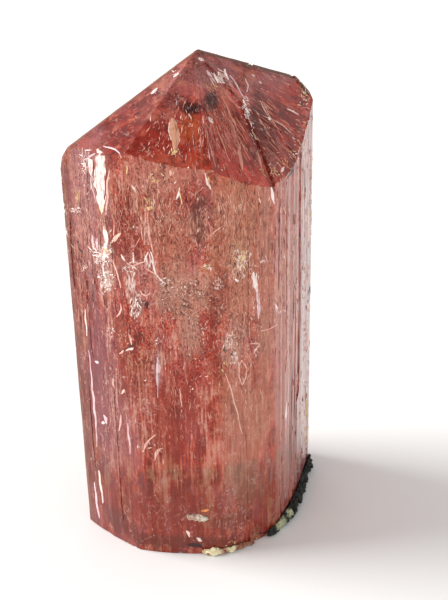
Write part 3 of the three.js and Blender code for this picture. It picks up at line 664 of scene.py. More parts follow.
# Single fractures, with a few painted highlights and one painted contact shade among them: the colour of
# each, and its path as pixels of the photo, with its width in pixels at each
fractures = {
    "plate": ("pearl", [(97, 149, 1.5), (100, 155, 8), (100.5, 165, 10), (99.5, 175, 11), (100, 185, 10.5),
                        (101, 195, 9.5), (101.5, 203, 7.5), (101.5, 209, 4), (101.5, 213, 1)]),
    "plateLobe": ("pearl", [(88, 158, 1), (90, 161, 4), (90.6, 166, 5), (91, 171, 3.6), (91, 175, 0.8)]),
    "plateBrow": ("lavender", [(86, 161, 0.8), (90, 156.5, 2), (95, 153, 1)]),
    "plateFoot": ("amber", [(99, 198, 1), (101.5, 203, 5.5), (101.5, 209, 3.4), (101.5, 214, 0.6)]),
    "plateSideLine": ("lavender", [(90, 177, 0.7), (92.6, 190, 1.2), (96.2, 203, 0.7)]),
    "plateRightLine": ("rosy", [(109.5, 170, 0.8), (107, 182, 1.5), (107.4, 198, 2), (106, 215, 1)]),
    "arc": ("lavender", [(103.5, 146, 0.8), (109.5, 147.5, 1.6), (115.6, 150, 1.6), (119.5, 153, 1.2),
                         (121.6, 158, 0.8)]),
    "featherStem": ("white", [(104, 226, 1), (105, 232, 4), (106, 240, 4), (106.5, 245, 2)]),
    "featherLeaf": ("peach", [(110.5, 243, 1), (115, 239, 4.2), (119, 235, 3), (121, 233, 0.8)]),
    "featherLeafStalk": ("rosy", [(113.8, 236, 1.2), (114.4, 225, 0.6)]),
    "featherBody": ("pearl", [(104.5, 243, 1.5), (104.6, 248, 5), (104, 254, 6), (103.6, 261, 2)]),
    "featherFootStem": ("white", [(103.5, 262, 1.4), (103.5, 270, 2.2), (104.2, 276, 2)]),
    "featherSide": ("lavender", [(92.3, 235, 1), (92.8, 240, 2.8), (94, 247, 1)]),
    "featherSideInner": ("lavender", [(96.8, 238, 0.8), (97.2, 244, 2), (97.6, 250, 0.8)]),
    "longFromFeather": ("rosy", [(112, 260, 1.4), (118, 275, 1.2), (120.4, 288, 0.8)]),
    "shortBright": ("white", [(121, 254.5, 0.8), (123, 257.5, 2.2), (125.5, 261, 0.8)]),
    "starUp": ("white", [(132.7, 252, 0.8), (133.2, 258, 1.6), (133.8, 263, 1.6)]),
    "starLeft": ("rosy", [(126, 262, 0.8), (132.5, 266.5, 1.3)]),
    "starRight": ("rosy", [(132.5, 266.5, 1.2), (139.8, 263, 1.4), (144.5, 261.5, 0.8)]),
    "aLeft": ("white", [(147.8, 252, 1), (146, 257, 1.5), (144.8, 262, 1)]),
    "aRight": ("white", [(151, 252, 1), (152.6, 260, 1.8), (155.8, 274.5, 1.4)]),
    "aFoot": ("rosy", [(144.5, 267, 0.8), (151, 271.5, 1.2), (156, 275, 1.4)]),
    "aLongLine": ("white", [(156, 275, 1.3), (161, 279.6, 1.1), (166, 284, 0.7)]),
    "pairLeft": ("rosy", [(141, 217, 0.7), (141.4, 228, 1.6), (142.4, 239, 0.8)]),
    "pairMiddle": ("rosy", [(145.3, 213, 0.8), (144.9, 228, 1.5), (144.7, 243, 0.9)]),
    "pairRight": ("rosy", [(147.6, 219, 0.7), (149, 232, 1.9), (150.4, 243, 1.3), (153.2, 252.5, 0.8)]),
    "doubleDash": ("white", [(131.5, 185.5, 0.8), (134.4, 189.6, 2.2), (135.5, 192, 1)]),
    "upperStroke": ("amber", [(127, 165.5, 0.8), (127.4, 170, 1.4), (126.8, 174, 0.8)]),
    "curveFromDash": ("rosy", [(135.6, 190, 0.8), (137.4, 198, 1.1), (136, 203, 0.8), (138, 210, 0.7)]),
    "amberBlob": ("amber", [(146.5, 207, 1), (149.5, 208.5, 4.4), (152.5, 206.5, 1.4)]),
    "amberLeft": ("amber", [(145, 198, 0.8), (146.4, 201, 1.4), (147.4, 204, 0.8)]),
    "amberRight": ("rosy", [(154.6, 199, 0.8), (154, 203, 1.7), (152.6, 206.5, 1)]),
    "rimBlob": ("rosy", [(170, 170, 1), (171.3, 173, 3), (170.6, 176, 1)]),
    "lambdaLeft": ("white", [(179.4, 187.5, 1.2), (178.6, 193.5, 2.4), (176, 200, 1)]),
    "lambdaRight": ("amber", [(179.3, 188, 1), (180.2, 196, 1.5), (181.8, 204.5, 0.9)]),
    "tipFlake": ("flesh", [(172, 118, 1.5), (173, 124, 8), (174, 131, 10.5), (175, 139, 9), (175.4, 146, 5),
                           (175.6, 151, 1)]),
    "tipFlakeEdge": ("pearl", [(169.4, 122, 0.6), (169, 131, 1.2), (170.8, 140, 0.6)]),
    "tipFlakeShade": ("bark", [(174.6, 120, 0.6), (175.8, 130, 1.5), (176.4, 142, 1.2), (176, 149, 0.6)]),
    "apexSpark": ("pearl", [(198.4, 57.6, 1), (201.4, 59.6, 3), (203.6, 60.8, 1)]),
    "topSparkOne": ("white", [(213.6, 73, 1), (216.4, 78.4, 2.6), (218.4, 83, 1)]),
    "topSparkTwo": ("white", [(218, 71.6, 1), (221, 77.6, 2.8), (224, 83.6, 1.4)]),
    "topSparkThree": ("white", [(225, 69, 1.8), (225.6, 73.6, 2), (228.4, 80, 1)]),
    "topSparkFour": ("lavender", [(206.6, 70.6, 1.4), (209, 74, 2.4), (211, 76.6, 1)]),
    "topLine": ("lavender", [(230, 75, 0.8), (236, 84, 1.5), (243, 96, 1)]),
    "topLineRight": ("lavender", [(245.6, 79, 0.8), (248, 85, 1.3), (246.6, 92, 1)]),
    "ridgeSparkOne": ("white", [(243, 99.6, 1.2), (244.6, 104, 2.6), (243.6, 108, 1.2)]),
    "ridgeSparkTwo": ("white", [(245.6, 108, 1.4), (247.4, 113.4, 3.6), (248.8, 119, 1.8)]),
    "ridgeSparkThree": ("white", [(249, 118, 1), (250.6, 123, 2), (251.4, 127.6, 0.8)]),
    "ridgeFoot": ("amber", [(252, 130, 0.8), (256, 138.6, 1.6), (259.4, 140.6, 0.8)]),
    "leftTriangle": ("white", [(151, 93.4, 0.8), (154.6, 91, 2.8), (157.8, 88, 0.8)]),
    "slopeDash": ("white", [(173.6, 77.4, 0.8), (176, 75.2, 2), (178.8, 73, 0.8)]),
    "slopeDashTop": ("rosy", [(172, 70, 0.8), (174, 72, 1.6)]),
    "greyChip": ("pearl", [(208.6, 116.6, 1), (211, 120, 3.4), (213.4, 123, 1)]),
    "dustyWedge": ("dusty", [(240.4, 142, 0.8), (239.4, 152, 3.4), (241.4, 163, 2.8), (243, 171, 0.8)]),
    "dustyWedgeRight": ("dusty", [(257.6, 154, 0.8), (260.4, 161.6, 2.4), (262, 168, 0.8)]),
    "rayOne": ("dusty", [(205.6, 130, 0.7), (211, 150, 1.3), (216, 167, 0.7)]),
    "rayTwo": ("dusty", [(216, 126, 0.7), (223.6, 145, 1.4), (230, 162, 0.7)]),
    "rayThree": ("dusty", [(229, 120, 0.7), (240, 140, 1.3), (250, 160, 0.7)]),
    "rayFour": ("dusty", [(262, 101, 0.7), (272, 120, 1.2), (283, 138, 0.7)]),
    "rayFive": ("dusty", [(257, 113, 0.7), (265, 128, 1.2), (274, 142, 0.7)]),
    "raySix": ("dusty", [(222, 96, 0.7), (229, 112, 1.5), (238, 131, 0.7)]),
    "tipLeaf": ("amber", [(171.6, 155, 1), (174, 153, 3), (177.5, 151.4, 1)]),
    "whiteRun": ("white", [(205, 173, 0.8), (206.4, 177.4, 1.6), (208, 184, 3.2), (210.8, 189.5, 0.9)]),
    "edgeSpark": ("white", [(271, 187, 0.8), (272.2, 193, 3.4), (273.4, 199, 2.4), (274.6, 204, 0.8)]),
    "edgeSparkLeft": ("rosy", [(269.4, 197, 0.9), (268.6, 201, 1.4)]),
    "sideStroke": ("white", [(258.6, 198, 1), (260, 200.6, 1.8), (261, 203, 0.8)]),
    "sidePair": ("rosy", [(280, 206, 0.8), (280.8, 209.5, 1.4), (281.4, 213, 0.8)]),
    "sidePairRight": ("rosy", [(283.8, 207, 0.8), (284.6, 210.4, 1.3), (285.4, 213.6, 0.8)]),
    "crossLong": ("rosy", [(209, 237, 0.7), (216, 231, 1.2), (222.7, 226, 0.7)]),
    "whitePatch": ("white", [(253.4, 272, 1), (254.2, 278, 4.6), (255.4, 286, 4), (257.4, 292, 1.6)]),
    "whitePatchFoot": ("lavender", [(257, 291, 1.4), (258.6, 300, 3.2), (258.6, 312, 3), (258.8, 319, 0.8)]),
    "goldStroke": ("amber", [(240.6, 261.5, 0.8), (243.4, 266, 1.8), (246, 271, 0.8)]),
    "goldSpark": ("white", [(234.6, 278.6, 1), (236.4, 280.6, 3), (238.4, 281.6, 1)]),
    "goldUpper": ("amber", [(243.8, 252, 0.8), (244.6, 256.6, 1.5), (243.6, 261, 0.8)]),
    "thinArc": ("rosy", [(260.4, 331, 0.8), (268, 330, 1), (277.7, 324, 0.7)]),
    "midSpark": ("white", [(276, 304.4, 0.8), (276.8, 307, 2), (277.6, 309, 0.8)]),
    "arrowTop": ("rosy", [(249, 343.6, 0.7), (255, 343.6, 1.4), (259.4, 344.2, 1.8)]),
    "arrowSide": ("rosy", [(259.2, 344.4, 1.6), (256, 350, 1.4), (253.6, 354, 0.8)]),
    "diagonal": ("rosy", [(225, 374, 0.8), (230, 385, 1.4), (232, 394, 1.2), (236.6, 410, 1.1),
                          (242, 434, 0.7)]),
    "ring": ("rosy", [(242, 360, 1), (246.4, 368, 1.2), (246, 378, 1.2), (242.6, 385, 1), (239, 377, 1.1),
                      (238.8, 367, 1.1), (242, 360, 0.8)]),
    "ringArc": ("rosy", [(139.8, 290, 0.8), (142, 294.4, 1.4), (146, 296, 1.4), (150.7, 292.4, 0.8)]),
    "paleHook": ("rosy", [(117, 317, 1), (119.6, 314, 2), (121, 309, 1.3), (120.4, 303.5, 0.8)]),
    # Painted highlights: thin pale reflections running down the left faces
    "leftHighlightUpper": ("pearl", [(85.2, 309, 0.8), (85.8, 320, 1.6), (87, 336, 0.7)]),
    "leftHighlightLong": ("lavender", [(88.6, 350, 0.7), (90.6, 366, 1), (92, 384, 1.6), (93.6, 400, 2.2),
                              (95, 414, 2), (96.4, 430, 1), (96.8, 447, 0.8)]),
    "leftDot": ("white", [(101.6, 422.4, 1), (103.1, 422.6, 3.8), (104.8, 422.8, 1)]),
    "leftHalo": ("lavender", [(103.4, 415, 1), (105.6, 418.6, 3), (106.6, 424, 1)]),
    "dot": ("white", [(95, 361.4, 1), (96.8, 362.4, 3), (98.6, 363, 1)]),
    # Painted highlights: thin pale reflections low on the left faces
    "leftHighlightLow": ("pearl", [(98.6, 470, 1), (100, 480, 2), (101.6, 492, 1.8), (103.2, 503, 1)]),
    "leftHighlightLowLeft": ("lavender", [(94.6, 482, 0.8), (95.6, 494, 1.7), (97.4, 507, 1.9), (99.2, 518, 1)]),
    "pinkCurve": ("rosy", [(112.6, 378, 0.8), (113.6, 384, 2), (115, 389, 0.8)]),
    "salmonDash": ("peach", [(121.6, 394, 1), (123, 391.4, 2.6), (124.6, 389, 1)]),
    "brightDash": ("peach", [(119.4, 353.6, 1), (121.8, 352, 2.4), (123.6, 350.6, 1)]),
    "brightDots": ("white", [(126, 350.4, 0.8), (129, 348.8, 2), (132.6, 349, 2.4), (133.6, 348, 0.8)]),
    "arcRight": ("peach", [(130, 335, 0.8), (131, 339.6, 2.6), (131.8, 345, 1)]),
    "lowStreak": ("rosy", [(121.4, 415, 0.8), (120.4, 423, 1.9), (118.8, 431, 1)]),
    "lavenderStreak": ("lavender", [(127.6, 423, 0.8), (129, 438, 1.9), (130.6, 454, 0.8)]),
    "lowHook": ("rosy", [(142.6, 452, 1), (145.6, 445, 2.2), (150.4, 439, 1.4), (155, 434.6, 0.8)]),
    "lowBlob": ("rosy", [(154.4, 460, 1), (156, 454, 3), (159, 450, 3), (163, 448, 0.8)]),
    "greyStreak": ("lavender", [(157.6, 357, 1.2), (158, 366, 4.4), (158, 378, 4), (157.4, 386, 1),
                                (158, 398, 0.7)]),
    "thinLine": ("rosy", [(179.4, 389, 0.7), (181, 398, 1.2), (181.9, 407, 0.7)]),
    "outlineLeft": ("bark", [(67, 150, 1), (78, 140.7, 1.2), (94, 128.2, 1.1), (118, 110.2, 1.3),
                             (142, 92.3, 1), (166, 73.9, 1.3), (190, 55.9, 1.2), (198, 51, 1)]),
    "outlineRight": ("olive", [(200, 51.6, 1.2), (214, 55.3, 1.6), (238, 61.9, 1.5), (262, 68.4, 1.8),
                               (286, 74.9, 1.7), (294, 77.6, 2), (302, 84.8, 2.4), (309, 94.4, 2.6)]),
    "outlineSide": ("bark", [(63, 160, 1), (63.4, 180, 1.1), (66.2, 210, 1), (68.2, 240, 1.2),
                             (70.6, 270, 0.9)]),
    "outlineSideLow": ("bark", [(70.6, 270, 0.9), (75.8, 330, 0.9), (80.7, 390, 1), (85.8, 450, 0.9),
                                (91.2, 510, 1)]),
    "slopeRimSpark": ("pearl", [(284.4, 167, 1), (282.6, 169.6, 3), (281, 172, 1)]),
    "slopeHair": ("pearl", [(287, 109, 0.8), (293, 111.4, 1.8), (298.6, 114.4, 0.8)]),
    "slopeHairLeft": ("rosy", [(260, 101, 0.6), (264.4, 109, 1), (268, 116, 0.6)]),
    "slopeHairLong": ("rosy", [(273, 119, 0.6), (282, 125, 1), (291, 132.4, 0.6)]),
    "slopeDot": ("white", [(268, 117, 1), (269.2, 118.4, 2.4), (270.4, 120, 1)]),
    "slopeDots": ("lavender", [(251.6, 74.4, 1), (253.2, 75.2, 1.8), (255, 76, 1)]),
    "slopeDotsRight": ("lavender", [(259, 81.6, 0.8), (260.4, 82.4, 1.8), (262, 83, 0.8)]),
    "plateGap": ("maroon", [(106.4, 166, 0.6), (106, 176, 1.4), (105.4, 190, 1.3), (104.6, 200, 0.6)]),
    "plateSeam": ("dusty", [(95.6, 156, 0.5), (95.8, 170, 0.9), (96.2, 186, 0.5)]),
    # Painted highlight: an orange glint above the fleck
    "fleckGlint": ("orange", [(201.6, 511.4, 1), (205.4, 510.6, 2.6), (208.6, 509.6, 1)]),
    "footBitLeft": ("pearl", [(186, 531, 1), (188.6, 533.6, 3), (189.6, 537, 1)]),
    "footBitRight": ("pearl", [(196.6, 538, 1), (199.4, 539.6, 3.6), (202, 541, 1)]),
    # Painted contact shade: the dark line where the foot meets the floor
    "footContactShade": ("dark", [(187, 544, 1), (192, 544.6, 4), (198, 545.6, 5), (203, 547, 1.4)]),
    "footEdge": ("amber", [(241, 546.6, 0.8), (246, 543.6, 2.4), (252, 540.6, 2), (257, 538, 0.8)]),
    "crustLine": ("dark", [(282, 526.5, 1), (276, 531, 1.6), (268, 532.6, 1.6), (257, 534, 0.8)]),
    "leftSpeckOne": ("dark", [(76.6, 240.6, 0.8), (78, 242, 2.6), (79.6, 243.4, 0.8)]),
    "leftSpeckTwo": ("dark", [(79, 249, 0.8), (81.4, 251, 2.4), (84, 254, 0.8)]),
    "darkNick": ("dark", [(293.4, 169, 1), (290.4, 174.4, 1.6), (286.6, 179.4, 0.8)]),
    "darkDot": ("dark", [(219.4, 254.6, 0.8), (220.3, 255, 1.8), (221.2, 255.4, 0.8)]),
    "crackDark": ("dark", [(179, 303.4, 0.6), (186, 306.4, 1.2), (193.4, 309.4, 0.6)]),
    "crackDarkUpper": ("dark", [(180, 298.6, 0.5), (186, 301.4, 0.9), (190, 302.6, 0.5)]),
    "dashDark": ("dark", [(124.6, 349, 0.7), (130, 346.6, 1.5), (134.6, 343.6, 0.7)]),
    "tangleDark": ("dark", [(146, 299, 1), (147, 303.4, 4), (147.4, 308.6, 1)]),
    "plateDark": ("dark", [(93, 160, 0.5), (93.4, 169, 1), (93.2, 177, 0.5)]),
}


# Thin cracks filled with air, which reach the face: uneven, a little shiny, paler where they are open and
# with a share of the body's red elsewhere. Grain and relief are in mm.
crack = {"grain": (0.12, 0.4), "open": (0.36, 0.5, 0, 1), "red": "#b4574a", "redShare": 0.55, "rough": 0.3,
         "relief": (0.5, 0.02)}


def crackMaterial(name, colour):
    material, tree, place = newMaterial(name)
    grain = drawnNoise(tree, place, *crack["grain"])
    share = crack["redShare"]
    shade = [min(c, (1 - share) * c + share * r) for c, r in zip(linear(colour), linear(crack["red"]))]
    tone = laidOver(tree, shade, linear(colour), (grain, crack["open"]))
    surfaced(tree, grain, crack["relief"], {"Base Color": tone, "Roughness": crack["rough"]})
    return material


# How a fracture wavers along its path. Its line sways by so many pixels, and its width by a share, both
# at a pace per step and with a little chance in it.
waver = {"step": 1.1, "sway": 0.3, "swayPace": 0.31, "swayChance": 0.1,
         "width": 0.12, "widthPace": 0.47, "widthChance": 0.06,
         "edgeLift": 0.001, "middleLift": 0.014}


def ribbonRow(placeAt, x, y, half, sideX, sideY):
    # Left edge, raised middle and right edge of a fracture at one step of its path
    row = []
    for across, lift in ((-half, "edgeLift"), (0, "middleLift"), (half, "edgeLift")):
        place, _ = placeAt(x + sideX * across, y + sideY * across, waver[lift])
        row.append(place)
    return None if None in row else row


def ribbon(work, placeAt, path, chance):
    # Lays one fracture on the crystal's face, slightly uneven, with steps of about a pixel
    rows = []
    phases = chance.uniform(0, 6), chance.uniform(0, 6)
    gone = 0.0
    for (ax, ay, aw), (bx, by, bw) in zip(path, path[1:]):
        reach = math.hypot(bx - ax, by - ay)
        sideX, sideY = -(by - ay) / reach, (bx - ax) / reach
        steps = max(1, round(reach / waver["step"]))
        for step in range(steps + 1):
            t = step / steps
            gone += 1
            shake = waver["sway"] * math.sin(phases[0] + waver["swayPace"] * gone)
            shake += chance.uniform(-waver["swayChance"], waver["swayChance"])
            uneven = 1 + waver["width"] * math.sin(phases[1] + waver["widthPace"] * gone)
            uneven += chance.uniform(-waver["widthChance"], waver["widthChance"])
            half = 0.5 * (aw + t * (bw - aw)) * uneven
            x, y = ax + t * (bx - ax) + sideX * shake, ay + t * (by - ay) + sideY * shake
            row = ribbonRow(placeAt, x, y, half, sideX, sideY)
            if row is not None and (step > 0 or not rows):
                rows.append([work.verts.new(place) for place in row])
    for first, second in zip(rows, rows[1:]):
        for i in range(2):
            work.faces.new((first[i], first[i + 1], second[i + 1], second[i]))


# The sides that the photo doesn't show carry the same marks. Directions are in degrees from the crystal's
# right side round the back, leans in degrees, and distances in mm, but a fracture's are in steps of "fine".
# Each pair is a range. Then come how many clumps and single bits of each kind, and fractures of each
# colour, there are.
hiddenSides = {
    "sector": (-12, 186), "seed": 17, "fine": 1 / 16,
    "clump": {"aside": (-3.5, 3.5), "height": (3.5, 29.5), "wide": (0.15, 0.6), "tall": (0.3, 1.3),
              "lean": (8, 50), "long": (0.16, 0.36)},
    "clumpBits": (16, 60),
    "single": {"aside": (-5, 5), "height": (1.5, 31.5)}, "singleLong": 0.3, "singleLean": 16,
    "clumps": {"whiteBits": 11, "rosyBits": 13, "amberBits": 7, "darkBits": 5, "paleThreads": 12},
    "singles": {"whiteBits": 60, "rosyBits": 160, "amberBits": 30, "darkBits": 50, "paleThreads": 620,
                "darkThreads": 420, "paleRays": 30, "redRays": 40},
    "fractures": {"white": 9, "pearl": 8, "rosy": 16, "lavender": 9, "peach": 7, "amber": 4, "dusty": 14,
                  "maroon": 8, "bark": 6},
    "fractureAside": (-60, 60), "fractureHeight": (50, 440), "fractureReach": (8, 24),
    "fractureWidths": (1.2, 1.6, 2.2, 3.0, 5.5),
}


def castInwards(skin, angle, aside, height, lift):
    # Where a level line towards the crystal's middle meets it, aside from the middle and at a height in mm
    outward = Vector((math.cos(angle), math.sin(angle), 0))
    side = Vector((-outward.y, outward.x, 0))
    start = (outward * 30 + side * aside + Vector((0, 0, height))) * mm  # well outside it
    return onSkin(skin, start, -outward, lift)


def hiddenFracture(chance):
    # Direction and path of one fracture on a side that the photo doesn't show: it leans a little, bends at
    # every step, and narrows towards its end
    angle = math.radians(chance.uniform(*hiddenSides["sector"]))
    x, y = chance.uniform(*hiddenSides["fractureAside"]), chance.uniform(*hiddenSides["fractureHeight"])
    width = chance.choice(hiddenSides["fractureWidths"])
    reach, lean = chance.uniform(*hiddenSides["fractureReach"]) * width ** 0.5, chance.gauss(0, 0.13)
    path = [(x, y, 0.6)]
    for part in (1.0, 0.8, 0.5):
        x, y = x + reach * math.sin(lean) / 3, y + reach / 3
        path.append((x, y, width * part))
        lean += chance.gauss(0, 0.12)
    path.append((x + 2 * math.sin(lean), y + reach / 4, 0.5))
    return angle, path


def makeFractures(skin):
    fine = hiddenSides["fine"]
    for kind, shade in fractureColours.items():
        chance = random.Random(kind)
        work = bmesh.new()
        for colour, path in fractures.values():
            if colour == kind:
                ribbon(work, lambda x, y, lift: onPhoto(skin, x, y, lift), path, chance)
        for _ in range(hiddenSides["fractures"].get(kind, 0)):
            angle, path = hiddenFracture(chance)
            ribbon(work, lambda x, y, lift: castInwards(skin, angle, x * fine, y * fine, lift), path, chance)
        work.normal_update()
        for face in work.faces:
            _, outward, _, _ = skin.find_nearest(face.calc_center_median())
            if face.normal.dot(outward) < 0:
                face.normal_flip()
        if work.faces:
            mesh = bpy.data.meshes.new(kind + "Fractures")
            work.to_mesh(mesh)
            piece = newPiece(kind + "Fractures", mesh, crackMaterial(kind + "Fracture", shade))
            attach(piece, "root")
            print(kind, "fractures", len(mesh.polygons), "faces")
        work.free()


